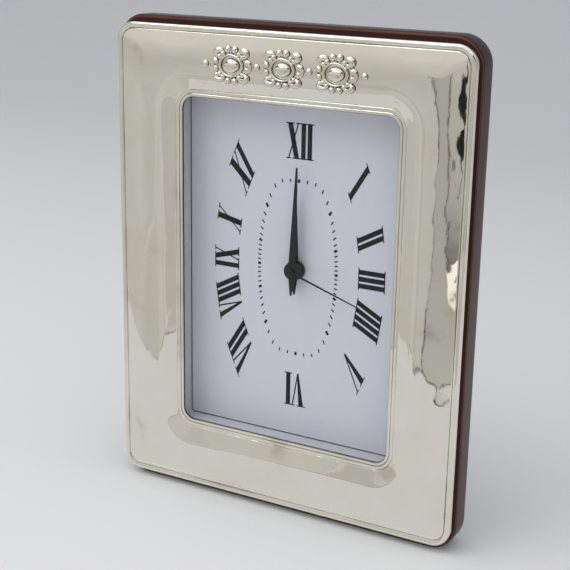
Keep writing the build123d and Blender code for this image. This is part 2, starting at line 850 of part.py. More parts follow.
def make_stator():
    """Makes the flat iron yoke with the rotor's hole between its arms."""
    front = inside + stator_level
    back = front + stator_thickness
    middle = axis_z + rotor_at[1]
    top = axis_z + coil_height + core_height / 2
    bar_bottom = middle - stator_bar_height / 2
    bar_top = middle + stator_bar_height / 2
    yoke = block(stator_left, stator_right, bar_bottom, bar_top, front, back)
    yoke += block(stator_left, stator_left + stator_arm_width, bar_bottom, top, front, back)
    yoke += block(stator_right - stator_arm_width, stator_right, bar_bottom, top, front, back)
    return yoke - rod(rotor_at, magnet_radius + stator_gap, stator_level, stator_level + stator_thickness)


def make_coil():
    """Makes the winding between its flanges, on the core that bridges the yoke."""
    core_front = inside + stator_level + stator_thickness
    core_back = core_front + stator_thickness
    middle_z = axis_z + coil_height
    bottom = middle_z - core_height / 2
    coil = block(stator_left, stator_right, bottom, bottom + core_height, core_front, core_back)
    start = stator_left + stator_arm_width
    end = stator_right - stator_arm_width
    middle_y = (core_front + core_back) / 2
    across = Plane(origin=(start, middle_y, middle_z), x_dir=(0, 1, 0), z_dir=(1, 0, 0))
    coil += extrude(across * Circle(coil_radius), amount=end - start)
    for x in (start, end - flange_thickness):
        flange = Plane(origin=(x, middle_y, middle_z), x_dir=(0, 1, 0), z_dir=(1, 0, 0))
        shape = Rectangle(2 * coil_radius, 2 * coil_radius + core_height / 2)
        coil += extrude(flange * shape, amount=flange_thickness)
    return coil


def make_circuit_board():
    """Makes the circuit board on the train plate."""
    bottom = axis_z + board_bottom
    front = inside + plate_back
    return block(board_left, board_left + board_width, bottom, bottom + board_height, front, component_y)


# Middle of the circuit board, where its chip sits, and the board's rear face
chip_x = board_left + board_width / 3
chip_z = axis_z + board_bottom + board_height / 2
crystal_x = board_left + 2 * board_width / 3
component_y = inside + plate_back + circuit_thickness


def make_control_chip():
    """Makes the sealed chip on the circuit board."""
    half = chip_size / 2
    chip = block(chip_x - half, chip_x + half, chip_z - half, chip_z + half, component_y, component_y + chip_rise)
    return fillet(chip.faces().sort_by(Axis.Y)[-1].edges(), chip_rise / 2)


def make_quartz_crystal():
    """Makes the crystal's can, lying on the circuit board."""
    bottom = chip_z - crystal_length / 2
    return upright((crystal_x, component_y + crystal_radius), crystal_radius, bottom, bottom + crystal_length)


# The cell lies along X in its bay, with its nub to the right
cell_y = inside + cell_radius + cell_clearance
cell_z = axis_z + (bay_bottom + bay_top) / 2
cell_left = -(cell_length + nub_length) / 2
cell_right = cell_left + cell_length


def along_x(radius, start, end):
    """Makes a cylinder on the cell's axis."""
    across = Plane(origin=(start, cell_y, cell_z), x_dir=(0, 1, 0), z_dir=(1, 0, 0))
    return extrude(across * Circle(radius), amount=end - start)


def make_battery():
    """Makes the round cell with its nub."""
    cell = along_x(cell_radius, cell_left, cell_right)
    return cell + along_x(nub_radius, cell_right, cell_right + nub_length)


def make_contact(wall, end):
    """Makes a sprung contact: a strip on the wall with a bent tongue that meets the cell."""
    side = math.copysign(1, wall)
    face = wall - side * contact_thickness
    tip = end + side * contact_gap
    reach = contact_width / 2
    strip = [(wall, -reach), (wall, reach), (face, reach), (tip, reach / 3), (tip, -reach / 3), (face, -reach)]
    outline = Pos(0, cell_z) * Polygon(*strip, align=None)
    return slab(outline, cell_y - reach / 2, cell_y + reach / 2)


def hand_face(length, tail, half_width, degrees):
    """Draws a tapered blade with its tail, turned clockwise from twelve."""
    tip = hand_tip_half_width
    blade = Polygon((-half_width, 0), (-tip, length), (tip, length), (half_width, 0), (tip, -tail), (-tip, -tail),
                    align=None)
    return Pos(0, axis_z) * Rot(0, 0, -degrees) * blade


def make_hand(height, length, tail, half_width, boss_radius, bore, degrees):
    """Makes a hand with a round boss that grips its tube."""
    back = dial_y - height
    front = back - hand_thickness
    hand = slab(hand_face(length, tail, half_width, degrees), front, back)
    hand += disc((0, axis_z), boss_radius, front, back + boss_depth)
    return hand - disc((0, axis_z), bore, front, back + boss_depth)


def make_hour_hand():
    """Makes the hour hand."""
    degrees = minutes_shown / 2
    return make_hand(hour_height, hour_length, hour_tail, hour_half_width, hour_boss_radius,
                     hour_tube_radius, degrees)


def make_minute_hand():
    """Makes the minute hand."""
    degrees = minutes_shown * 6
    return make_hand(minute_height, minute_length, minute_tail, minute_half_width, minute_boss_radius,
                     minute_tube_radius, degrees)


def make_second_hand():
    """Makes the thin second hand, whose hub grips the second arbor."""
    back = dial_y - second_height
    front = back - hand_thickness
    needle = Polygon((-second_half_width, 0), (-hand_tip_half_width / 2, second_length),
                     (hand_tip_half_width / 2, second_length), (second_half_width, 0), align=None)
    hand = slab(Pos(0, axis_z) * Rot(0, 0, -6 * seconds_shown) * needle, front, back)
    hand += disc((0, axis_z), second_hub_radius, front, back + second_hub_depth)
    return hand - disc((0, axis_z), second_arbor_radius, front, back + second_hub_depth)


parts = {
    "silver_front": make_silver_front(),
    "resin_core": front_form(sheet_thickness),
    "wood_body": make_wood_body(),
    "glass": make_glass(),
    "dial_spacer": make_dial_spacer(),
    "dial_sheet": make_dial_sheet(),
    "dial_board": make_dial_board(),
    "mounting_pad": make_mounting_pad(),
    "back_panel": make_back_panel(),
    "hinge_frame_leaf": make_hinge_frame_leaf(),
    "hinge_strut_leaf": make_hinge_strut_leaf(),
    "hinge_pin": make_hinge_pin(),
    "hinge_frame_screws": Compound(children=frame_screws()),
    "hinge_strut_screws": Compound(children=strut_screws()),
    "strut_leg": make_strut_leg(),
    "turn_button_screws": make_turn_button_screws(),
    "movement_case": make_movement_case(),
    "movement_cover": make_movement_cover(),
    "cover_screws": make_cover_screws(),
    "train_plate": make_train_plate(),
    "hour_wheel": make_hour_wheel(),
    "cannon_pinion": make_cannon_pinion(),
    "motion_wheel": make_motion_wheel(),
    "setting_knob": make_setting_knob(),
    "centre_wheel": make_centre_wheel(),
    "third_wheel": make_third_wheel(),
    "second_wheel": make_second_wheel(),
    "intermediate_wheel": make_intermediate_wheel(),
    "rotor": make_rotor(),
    "stator": make_stator(),
    "coil": make_coil(),
    "circuit_board": make_circuit_board(),
    "control_chip": make_control_chip(),
    "quartz_crystal": make_quartz_crystal(),
    "battery": make_battery(),
    "contact_positive": make_contact(cavity_half, cell_right + nub_length),
    "contact_negative": make_contact(-cavity_half, cell_left),
    "hour_hand": make_hour_hand(),
    "minute_hand": make_minute_hand(),
    "second_hand": make_second_hand(),
}
for number, at in enumerate(button_places(), start=1):
    parts[f"turn_button_{number}"] = make_turn_button(at)

for name, part in parts.items():
    export_step(part, f"parts/{name}.step")
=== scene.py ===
"""Surfaces and finishes of a silver photo frame clock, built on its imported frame."""
import json
import math

import bmesh
import bpy
from bpy.props import FloatProperty, FloatVectorProperty, IntProperty, PointerProperty
from mathutils import Euler, Matrix, Vector, noise


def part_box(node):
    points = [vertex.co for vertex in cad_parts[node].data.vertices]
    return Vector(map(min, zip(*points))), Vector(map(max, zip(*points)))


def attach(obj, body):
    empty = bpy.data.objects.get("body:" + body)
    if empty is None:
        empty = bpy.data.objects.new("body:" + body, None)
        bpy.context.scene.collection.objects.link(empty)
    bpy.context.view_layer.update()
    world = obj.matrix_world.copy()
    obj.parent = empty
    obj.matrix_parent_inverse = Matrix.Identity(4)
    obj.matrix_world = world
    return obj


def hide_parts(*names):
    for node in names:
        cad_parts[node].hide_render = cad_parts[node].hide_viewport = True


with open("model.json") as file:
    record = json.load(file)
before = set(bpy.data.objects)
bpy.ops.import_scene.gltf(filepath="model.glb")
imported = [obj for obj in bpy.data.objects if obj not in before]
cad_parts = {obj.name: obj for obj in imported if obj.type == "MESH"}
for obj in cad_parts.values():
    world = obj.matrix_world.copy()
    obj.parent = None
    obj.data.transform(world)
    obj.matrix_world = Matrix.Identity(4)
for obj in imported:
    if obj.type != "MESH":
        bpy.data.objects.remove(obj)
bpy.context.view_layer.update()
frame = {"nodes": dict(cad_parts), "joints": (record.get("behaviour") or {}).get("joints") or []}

bl_info = {
    "name": "Photo Frame Clock",
    "version": (1, 0, 0),
    "blender": (4, 5, 0),
    "location": "3D View > Sidebar > Clock",
    "description": "Builds the surfaces and finishes of a silver photo frame clock on its packed frame",
    "category": "Object",
}

MM = 0.001

# Places taken from the frame, in metres: the dial faces -Y and the clock's axis runs along Y
JOINT_AT = {joint["name"]: Vector(joint["pos_m"]) for joint in frame["joints"]}
AXIS_Z = JOINT_AT["minute_spin"].z
SILVER_LOW, SILVER_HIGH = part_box("silver_front")
WOOD_LOW, WOOD_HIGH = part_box("wood_body")
PANE_LOW, PANE_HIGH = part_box("back_panel")
DIAL_LOW, DIAL_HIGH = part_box("dial_sheet")
SILVER_CENTRE_Z = (SILVER_LOW.z + SILVER_HIGH.z) / 2
FRONT_Y = WOOD_LOW.y
REAR_Y = WOOD_HIGH.y
DIAL_Y = DIAL_LOW.y


def length(label, text, default):
    """Declares a length by its default in millimetres."""
    return FloatProperty(name=label, description=text, default=default * MM, min=0.0, unit="LENGTH",
                         precision=5)


def colour(label, text, default):
    """Declares a colour."""
    return FloatVectorProperty(name=label, description=text, default=default, size=3, min=0.0, max=1.0,
                               subtype="COLOR")


class SilverSettings(bpy.types.PropertyGroup):
    """Sizes and colours of the pressed silver front."""
    opening_width: length("Window Width", "Clear width inside the lip", 85.0)
    opening_height: length("Window Height", "Clear height inside the lip", 123.4)
    opening_corner: length("Window Corner", "Corner radius of the window", 4.5)
    outer_corner: length("Outer Corner", "Corner radius of the front", 7.2)
    sheet: length("Sheet", "Thickness of the silver sheet", 0.5)
    crest: length("Crest", "Height of the panel above the wood", 3.8)
    crest_inset: length("Crest Inset", "Distance of the crest from the outer edge", 14.5)
    pillow: length("Pillow", "Fall of the panel from its crest to the bead", 0.68)
    roll_start: length("Roll Start", "Distance from the window at which the roll begins", 10.8)
    roll_full: length("Roll Full", "Distance from the window at which the roll is steepest", 6.8)
    lip_width: length("Lip Width", "Width of the flatter lip beside the window", 2.3)
    roll_slope: FloatProperty(name="Roll Slope", description="Steepest slope of the roll", default=0.43)
    lip_slope: FloatProperty(name="Lip Slope", description="Slope of the lip", default=0.10)
    bead_radius: length("Bead Radius", "Radius of the bead along the outer edge", 1.1)
    bead_rise: length("Bead Rise", "Height of the bead above the panel beside it", 0.45)
    rim_round: length("Rim Round", "Radius of the lip's edge at the window", 0.6)
    line_depth: length("Line Depth", "Depth of the fine lines beside the bead and the lip", 0.25)
    polish_depth: length("Polish Depth", "Height of the soft waves left by hand polishing", 0.20)
    polish_spacing: length("Polish Spacing", "Distance between those waves", 21.0)
    wave_start: length("Wave Start", "Distance from the bead or the window at which the waves begin", 3.4)
    wave_fade: length("Wave Fade", "Distance over which the waves grow to their height", 3.0)
    bead_wave: length("Bead Wave", "Unevenness of the bead", 0.10)
    lip_wave: length("Lip Wave", "Unevenness of the lip", 0.03)
    streak_depth: length("Streak Depth", "Height of the fine streaks along the borders", 0.006)
    streak_width: length("Streak Width", "Distance between those streaks", 2.2)
    streak_length: length("Streak Length", "Distance along which a streak changes", 22.0)
    dent_depth: length("Dent Depth", "Height of the small dents at the window's corners", 0.06)
    dent_spacing: length("Dent Spacing", "Distance between those dents", 2.4)
    dent_reach: length("Dent Reach", "Distance from a corner to which the dents reach", 7.0)
    bright: colour("Bright Silver", "Colour of the polished silver", (0.905, 0.880, 0.805))
    worn: colour("Worn Silver", "Colour of the silver where polish has dulled", (0.87, 0.84, 0.755))
    # Dark end of the silver: patina in the fine lines, painted shade down the window's edge and at the
    # ornament's foot.
    tarnish_and_shade: colour("Tarnish", "Colour of the silver where polish doesn't reach", (0.10, 0.09, 0.075))
    bead_line: FloatProperty(name="Bead Line", description="Place of the line beside the bead, in bead radii",
                             default=1.95)
    lip_line: length("Lip Line", "Distance of the lip's inner line from the window", 1.35)
    lip_line_gap: length("Lip Line Gap", "Distance between the lip's two lines", 1.35)
    lip_line_width: length("Lip Line Width", "Half width of those lines", 0.16)


class OrnamentSettings(bpy.types.PropertyGroup):
    """Sizes of the medallions on the top border."""
    medallions: IntProperty(name="Medallions", description="Number of medallions", default=3, min=1)
    spacing: length("Spacing", "Distance between medallions", 20.2)
    cabochon_width: length("Cabochon Width", "Width of the oval boss", 6.8)
    cabochon_height: length("Cabochon Height", "Height of the oval boss", 5.2)
    cabochon_rise: length("Cabochon Rise", "Height of the boss above the panel", 2.1)
    collar_gap: length("Collar Gap", "Distance from the boss to the middle of its collar", 1.05)
    collar_radius: length("Collar Radius", "Radius of the collar's round section", 0.50)
    corner_scroll: length("Corner Scroll", "Greatest radius of a corner scroll's round section", 1.15)
    side_scroll: length("Side Scroll", "Greatest radius of a side scroll's round section", 0.9)
    bead_radius: length("Bead Radius", "Radius of the beads that link the medallions", 1.25)
    # Below this height the ornament darkens: patina in its crevices and painted contact shade where it meets
    # the panel.
    patina_and_shade_height: length("Polish From", "Height above the panel from which the ornament is polished", 0.55)
    scroll_end: length("Scroll End", "Radius of the bead at each end of a corner scroll", 0.95)
    end_distance: length("End Bead Distance", "Distance of the end beads from the outer medallions", 10.5)


class WoodSettings(bpy.types.PropertyGroup):
    """Sizes of the wooden body, and the colours of its wood, the panel's and the strut's."""
    corner: length("Corner", "Corner radius of the body", 10.0)
    front_round: length("Front Round", "Width of the round along the sides of the front edge", 0.5)
    head_round: length("Head Round", "Width of that round along the head and the foot", 1.6)
    round_depth: length("Round Depth", "Depth of that round", 0.8)
    rear_round: length("Rear Round", "Radius of the rear edge", 7.0)
    rebate_corner: length("Rebate Corner", "Corner radius of the rebate", 1.2)
    pane_clearance: length("Pane Clearance", "Gap between the panel and the rebate", 0.2)
    # Painted light on the body's front: a painted shadow on the narrow face beside the silver, and a painted
    # highlight along its rounded front edge.
    ledge_shadow: colour("Ledge", "Colour of the narrow ledge beside the silver", (0.036, 0.008, 0.0045))
    arris_highlight: colour("Arris", "Colour of the worn front arris", (0.150, 0.050, 0.032))
    light: colour("Light Grain", "Colour between the pores of the wood", (0.060, 0.021, 0.013))
    dark: colour("Dark Grain", "Colour of the pores of the wood", (0.016, 0.006, 0.004))


class BackSettings(bpy.types.PropertyGroup):
    """Sizes of the strut, the turn buttons, the screws, the cover's rim and the cell."""
    strut_top_width: length("Strut Top", "Width of the strut at its top", 8.0)
    strut_toe: length("Strut Toe", "Height of the strut's toe", 5.0)
    strut_sag: length("Strut Sag", "Depth of the hollow in the strut's rear edge", 5.0)
    strut_edge: length("Strut Edge", "Softened edge of the strut", 0.7)
    button_edge: length("Button Edge", "Rounded edge of a turn button", 0.3)
    button_bore: length("Button Bore", "Radius of a turn button's hole", 1.25)
    button_head: length("Button Screw Head", "Radius of a turn button's screw head", 2.2)
    hinge_head: length("Hinge Screw Head", "Radius of a hinge screw's head", 1.4)
    cover_head: length("Cover Screw Head", "Radius of a cover screw's head", 1.4)
    button_rise: length("Button Screw Rise", "Height of a turn button's screw head", 1.0)
    cover_rise: length("Cover Screw Rise", "Height of a cover screw's head", 0.9)
    hinge_sink: length("Hinge Screw Sink", "Depth of a hinge screw's countersunk head", 0.8)
    button_shank: length("Button Screw Shank", "Radius of a turn button's screw", 1.2)
    cover_shank: length("Cover Screw Shank", "Radius of a cover screw", 0.8)
    hinge_shank: length("Hinge Screw Shank", "Radius of a hinge screw", 0.7)
    slot_width: length("Screw Slot", "Width of the slot in a screw head", 0.5)
    rim_width: length("Cover Rim", "Width of the moulded rim of the cover", 1.3)
    rim_rise: length("Cover Rim Rise", "Height of the moulded rim of the cover", 0.35)
    cover_corner: length("Cover Corner", "Corner radius of the cover", 2.0)
    rim_root: length("Cover Rim Root", "Depth of that rim in the cover", 0.2)
    cell_edge: length("Cell Edge", "Rounded edge of the cell", 0.5)
    nub_radius: length("Nub Radius", "Radius of the cell's nub", 2.75)
    nub_length: length("Nub Length", "Length of the cell's nub", 1.3)


class DialSettings(bpy.types.PropertyGroup):
    """Sizes and colours of the printed dial."""
    ink_rise: length("Ink Rise", "Height of the print above the sheet", 0.03)
    ink_root: length("Ink Root", "Depth of the print in the sheet", 0.02)
    stem: length("Stem", "Width of a numeral's thick stroke", 1.8)
    hairline: length("Hairline", "Width of a numeral's thin stroke", 0.50)
    letter_gap: length("Letter Gap", "Gap between the strokes of a numeral", 0.72)
    serif_reach: length("Serif Reach", "Reach of a serif beyond its stroke", 0.72)
    v_width: length("V Width", "Width of the letter V", 4.9)
    x_width: length("X Width", "Width of the letter X", 4.8)
    track_half_width: length("Track Half Width", "Half the width of the minute track", 15.8)
    track_half_height: length("Track Half Height", "Half the height of the minute track", 32.5)
    track_shoulder: length("Track Shoulder", "Height at which the track's side arcs would meet", 38.0)
    track_band: length("Track Band", "Width of the band that the ticks fill", 1.25)
    tick_width: length("Tick Width", "Width of a minute tick", 0.5)
    hour_tick_width: length("Hour Tick Width", "Width of a five-minute tick", 0.95)
    paper: colour("Paper", "Colour of the dial sheet", (0.745, 0.76, 0.825))
    ink: colour("Ink", "Colour of the print and hands", (0.0095, 0.010, 0.012))
    spacer_wall: length("Spacer Wall", "Thickness of the spacer's sides", 1.5)
    # A painted shadow runs where the spacer stands on the dial; these set its width and corner.
    seam: length("Seam", "Width of the dark seam where the spacer stands on the dial", 0.42)
    shadow_seam_corner: length("Seam Corner", "Corner radius of that seam", 1.5)


class HandSettings(bpy.types.PropertyGroup):
    """Sizes of the three hands."""
    hour_length: length("Hour Length", "Length of the hour hand", 25.6)
    hour_half_width: length("Hour Half Width", "Half the width of the hour hand", 1.6)
    hour_boss: length("Hour Boss", "Radius of the hour hand's boss", 3.6)
    hour_bore: length("Hour Bore", "Radius of the hour hand's bore", 2.5)
    minute_length: length("Minute Length", "Length of the minute hand", 38.0)
    minute_half_width: length("Minute Half Width", "Half the width of the minute hand", 1.5)
    minute_boss: length("Minute Boss", "Radius of the minute hand's boss", 3.25)
    minute_bore: length("Minute Bore", "Radius of the minute hand's bore", 1.6)
    tail: length("Tail", "Length of the tails of both hands", 9.1)
    tip_half_width: length("Tip Half Width", "Half the width of a hand's tip", 0.3)
    second_length: length("Second Length", "Length of the second hand", 28.4)
    second_half_width: length("Second Half Width", "Half the width of the second hand", 0.35)
    second_hub: length("Second Hub", "Radius of the second hand's hub", 1.0)
    second_bore: length("Second Bore", "Radius of the second hand's bore", 0.5)
    plate: length("Plate", "Thickness of the hands' plates", 0.4)
    edge: length("Edge", "Softened edge of the hands", 0.08)
    minutes_shown: FloatProperty(name="Minutes", description="Minutes past twelve at rest", default=0.3)
    seconds_shown: FloatProperty(name="Seconds", description="Seconds at rest", default=18.0)


class StageSettings(bpy.types.PropertyGroup):
    """Camera, light and surroundings."""
    camera_at: FloatVectorProperty(name="Camera", description="Place of the camera", size=3,
                                   subtype="TRANSLATION", unit="LENGTH",
                                   default=(208.904 * MM, -381.456 * MM, 215.247 * MM))
    camera_turn: FloatVectorProperty(name="Camera Turn", description="Turn of the camera", size=3,
                                     subtype="EULER", unit="ROTATION",
                                     default=tuple(math.radians(x) for x in (73.480, -0.999, 29.206)))
    lens: FloatProperty(name="Lens", description="Focal length on a 36 mm sensor", default=79.673)
    softbox_power: FloatProperty(name="Softbox", description="Power of the soft light", default=2.8,
                                 unit="POWER")
    softbox_size: FloatVectorProperty(name="Softbox Size", description="Width and height of the soft light",
                                      size=2, unit="LENGTH", default=(0.9, 0.7))
    softbox_at: FloatVectorProperty(name="Softbox Place", description="Place of the soft light", size=3,
                                    subtype="TRANSLATION", unit="LENGTH", default=(-0.45, -0.55, 1.0))
    softbox_aim: FloatVectorProperty(name="Softbox Aim", description="Direction of the soft light", size=3,
                                     subtype="DIRECTION", default=(0.45, 0.50, -0.92))
    sky: FloatProperty(name="Sky", description="Strength of the light from all round", default=1.0)
    floor: colour("Floor", "Colour of the floor near the clock", (0.795, 0.80, 0.805))
    # The backdrop colour is darker than the floor as painted shade of light falling off with distance.
    shaded_far_floor: colour("Backdrop", "Colour of the backdrop behind the clock", (0.57, 0.58, 0.595))


def tree_node(tree, kind, links=(), output=0, **settings):
    """Adds a node with its sockets linked or set as the pairs say, and gives one of its outputs."""
    node = tree.nodes.new(kind)
    for name, value in settings.items():
        setattr(node, name, value)
    for socket, value in links:
        if isinstance(value, bpy.types.NodeSocket):
            tree.links.new(value, node.inputs[socket])
        else:
            node.inputs[socket].default_value = value
    return node.outputs[output]


def tree_math(tree, operation, first, second=0.0):
    """Adds a sum, product or function of one or two values."""
    return tree_node(tree, "ShaderNodeMath", ((0, first), (1, second)), operation=operation)


def tree_span(tree, value, low, high, source=(0.0, 1.0)):
    """Maps a value between two limits."""
    limits = (("From Min", source[0]), ("From Max", source[1]), ("To Min", low), ("To Max", high))
    return tree_node(tree, "ShaderNodeMapRange", (("Value", value), *limits))


def tree_ramp(tree, value, stops, interpolation="LINEAR"):
    """Turns a value into a colour by stops of position and colour."""
    node = tree.nodes.new("ShaderNodeValToRGB")
    node.color_ramp.interpolation = interpolation
    elements = node.color_ramp.elements
    while len(elements) < len(stops):
        elements.new(0.5)
    for element, (position, tint) in zip(elements, stops):
        element.position = position
        element.color = (*tint, 1.0)
    tree.links.new(value, node.inputs["Fac"])
    return node.outputs["Color"]


class Finish:
    """One procedural finish on a principled shader, patterned on the piece's own coordinates."""

    def __init__(self, name, roughness=0.5, metallic=0.0):
        self.material = bpy.data.materials.new(name)
        self.material.use_nodes = True
        self.tree = self.material.node_tree
        self.shader = self.tree.nodes["Principled BSDF"]
        self.coordinates = self.tree.nodes.new("ShaderNodeTexCoord").outputs
        self.set("Roughness", roughness)
        self.set("Metallic", metallic)

    def set(self, socket, value):
        """Gives one of the shader's sockets the same value all over."""
        self.shader.inputs[socket].default_value = value

    def feed(self, output, socket):
        """Links a value to one of the shader's sockets."""
        self.tree.links.new(output, self.shader.inputs[socket])

    def place(self, scale, turn=(0.0, 0.0, 0.0), source="Object"):
        """Scales and turns the coordinates that a pattern reads."""
        links = (("Vector", self.coordinates[source]), ("Scale", scale), ("Rotation", turn))
        return tree_node(self.tree, "ShaderNodeMapping", links)

    def axis(self, name):
        """Picks one coordinate of the piece."""
        return tree_node(self.tree, "ShaderNodeSeparateXYZ", (("Vector", self.coordinates["Object"]),), name)

    def cloud(self, vector, detail=3.0, distortion=0.0):
        """Makes a noise pattern."""
        links = (("Vector", vector), ("Scale", 1.0), ("Detail", detail), ("Distortion", distortion))
        return tree_node(self.tree, "ShaderNodeTexNoise", links, "Fac")

    def attribute(self, name):
        """Reads a value kept on the mesh."""
        return tree_node(self.tree, "ShaderNodeAttribute", output="Fac", attribute_name=name)

    def ramp(self, value, stops, interpolation="LINEAR"):
        """Turns a value into a colour."""
        return tree_ramp(self.tree, value, stops, interpolation)

    def span(self, value, low, high, source=(0.0, 1.0)):
        """Maps a value between two limits."""
        return tree_span(self.tree, value, low, high, source)

    def combine(self, operation, first, second):
        """Joins two values by a sum, a product or the like; the second may be a plain number."""
        return tree_math(self.tree, operation, first, second)

    def relief(self, height, depth):
        """Adds a bump of a given depth."""
        links = (("Height", height), ("Distance", depth), ("Strength", 1.0))
        self.feed(tree_node(self.tree, "ShaderNodeBump", links), "Normal")


def mottled(name, light, dark, grain, roughness, metallic=0.0, depth=0.01 * MM, stretch=(1.0, 1.0, 1.0),
            gloss=0.5):
    """Makes a finish of two close colours in a fine grain, with a matching sheen and relief."""
    finish = Finish(name, metallic=metallic)
    finish.set("Specular IOR Level", gloss)
    scale = tuple(share / grain for share in stretch)
    pattern = finish.cloud(finish.place(scale), detail=4.0)
    finish.feed(finish.ramp(pattern, ((0.3, dark), (0.7, light))), "Base Color")
    finish.feed(finish.span(pattern, roughness * 0.8, min(1.0, roughness * 1.2)), "Roughness")
    finish.relief(pattern, depth)
    return finish.material


def silver_finish(name, settings, polish):
    """Polished silver with cloudy bloom and fine polishing marks; polish gives its share at each place, and a
    low share darkens it: patina in the fine lines, painted shade down the window's edge and at the ornament's
    foot.
    """
    finish = Finish(name, metallic=1.0)
    bloom = finish.cloud(finish.place((55.0, 55.0, 55.0)), detail=3.0)
    marks = finish.cloud(finish.place((2600.0, 2600.0, 420.0), turn=(0.0, 0.5, 0.0)), detail=2.0)
    ripple = finish.cloud(finish.place((330.0, 330.0, 160.0)), detail=2.0, distortion=0.4)
    shine = finish.combine("MULTIPLY", bloom, polish(finish))
    # The dark stop is patina in the lines and painted shade at the window's edge and the ornament's foot.
    stops = ((0.0, settings.tarnish_and_shade), (0.35, settings.worn), (0.6, settings.bright))
    finish.feed(finish.ramp(shine, stops), "Base Color")
    dull = finish.combine("MULTIPLY", finish.combine("ADD", bloom, marks), 0.5)
    finish.feed(finish.span(dull, 0.02, 0.07, source=(0.3, 0.7)), "Roughness")
    finish.relief(finish.combine("ADD", ripple, finish.combine("MULTIPLY", marks, 0.12)), 0.012 * MM)
    return finish.material


def ledge_shade_and_arris_highlight(finish, grain, settings):
    """Paints shadow on the narrow face beside the silver and a warm painted highlight along the rounded front
    edge.
    """
    depth = finish.axis("Y")
    edge = settings.front_round
    behind = finish.span(depth, 0.0, 1.0, source=(FRONT_Y + 0.02 * edge, FRONT_Y + 0.12 * edge))
    before = finish.span(depth, 1.0, 0.0, source=(FRONT_Y + 0.3 * edge, FRONT_Y + 0.7 * edge))
    # The warm band on the rounded front edge is a painted highlight.
    worn = finish.combine("MULTIPLY", finish.combine("MULTIPLY", behind, before), 0.4)
    return finish.combine("ADD", finish.combine("MULTIPLY", grain, behind), worn)


# Scale of the grain of upright boards
BOARD_GRAIN = (1400.0, 1400.0, 80.0)


def wood_finish(name, settings, scale=BOARD_GRAIN, source="Object", painted_edge_light=False):
    """Dark wood under satin lacquer, with pores drawn out along the grain; with painted edge light, also a
    painted shadow beside the silver and a painted highlight on the front edge.
    """
    finish = Finish(name)
    figure = finish.cloud(finish.place(tuple(0.12 * share for share in scale), source=source), 3.0, 0.6)
    pores = finish.cloud(finish.place(scale, source=source), detail=5.0, distortion=0.2)
    grain = finish.combine("MULTIPLY", finish.combine("ADD", figure, pores), 0.5)
    shade = ledge_shade_and_arris_highlight(finish, grain, settings) if painted_edge_light else grain
    stops = ((0.0, settings.ledge_shadow), (0.36, settings.dark), (0.62, settings.light), (0.95, settings.arris_highlight))
    finish.feed(finish.ramp(shade, stops), "Base Color")
    finish.feed(finish.span(pores, 0.22, 0.40), "Roughness")
    finish.set("Specular IOR Level", 0.16)
    finish.set("Coat Weight", 0.10)
    finish.set("Coat Roughness", 0.10)
    finish.relief(pores, 0.02 * MM)
    return finish.material


def paper_finish(settings):
    """Matt dial paper with a faint fibre."""
    finish = Finish("dial_paper")
    fibre = finish.cloud(finish.place((1800.0, 1800.0, 900.0)), detail=4.0)
    shade = tuple(0.965 * channel for channel in settings.paper)
    finish.feed(finish.ramp(fibre, ((0.3, shade), (0.7, settings.paper))), "Base Color")
    finish.feed(finish.span(fibre, 0.55, 0.75), "Roughness")
    finish.relief(fibre, 0.004 * MM)
    return finish.material


def glass_finish():
    """Clear pane with a faint film of dust."""
    finish = Finish("clear_glass", roughness=0.03)
    film = finish.cloud(finish.place((40.0, 40.0, 40.0)), detail=3.0)
    finish.feed(finish.ramp(film, ((0.3, (0.24, 0.26, 0.28)), (0.7, (0.30, 0.32, 0.34)))), "Base Color")
    finish.feed(finish.span(film, 0.02, 0.05), "Roughness")
    finish.set("Alpha", 0.03)
    finish.set("IOR", 1.5)
    finish.material.surface_render_method = "BLENDED"
    return finish.material


def tube_finish():
    """Brass whose front end, which shows at the hands, is blackened."""
    finish = Finish("blackened_brass", metallic=1.0)
    depth = finish.axis("Y")
    grain = finish.cloud(finish.place((900.0, 900.0, 900.0)), detail=3.0)
    edge = finish.combine("ADD", depth, finish.span(grain, -0.2 * MM, 0.2 * MM))
    front = finish.span(edge, 0.0, 1.0, source=(DIAL_Y - 0.4 * MM, DIAL_Y + 0.4 * MM))
    finish.feed(finish.ramp(front, ((0.3, (0.02, 0.02, 0.02)), (0.7, (0.74, 0.56, 0.28)))), "Base Color")
    finish.feed(finish.span(grain, 0.28, 0.45), "Roughness")
    finish.relief(grain, 0.004 * MM)
    return finish.material


def smooth_edges(bm, limit):
    """Shades a mesh smooth, with sharp edges where it turns by more than a limit in degrees."""
    for face in bm.faces:
        face.smooth = True
    for edge in bm.edges:
        edge.smooth = edge.calc_face_angle(0.0) < math.radians(limit)


def settle(piece, body, nodes=()):
    """Ties a piece to its body and the nodes that it stands for."""
    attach(piece, body)
    if nodes:
        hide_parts(*nodes)
    return piece


def make_piece(name, bm, material, limit=35.0):
    """Turns a finished form into an object, with its faces outwards."""
    bmesh.ops.recalc_face_normals(bm, faces=bm.faces)
    smooth_edges(bm, limit)
    mesh = bpy.data.meshes.new(name)
    bm.to_mesh(mesh)
    bm.free()
    mesh.materials.append(material)
    piece = bpy.data.objects.new(name, mesh)
    bpy.context.scene.collection.objects.link(piece)
    return piece


def evenly(start, stop, count):
    """Gives evenly spaced values from start to stop."""
    return [start + (stop - start) * step / (count - 1) for step in range(count)]


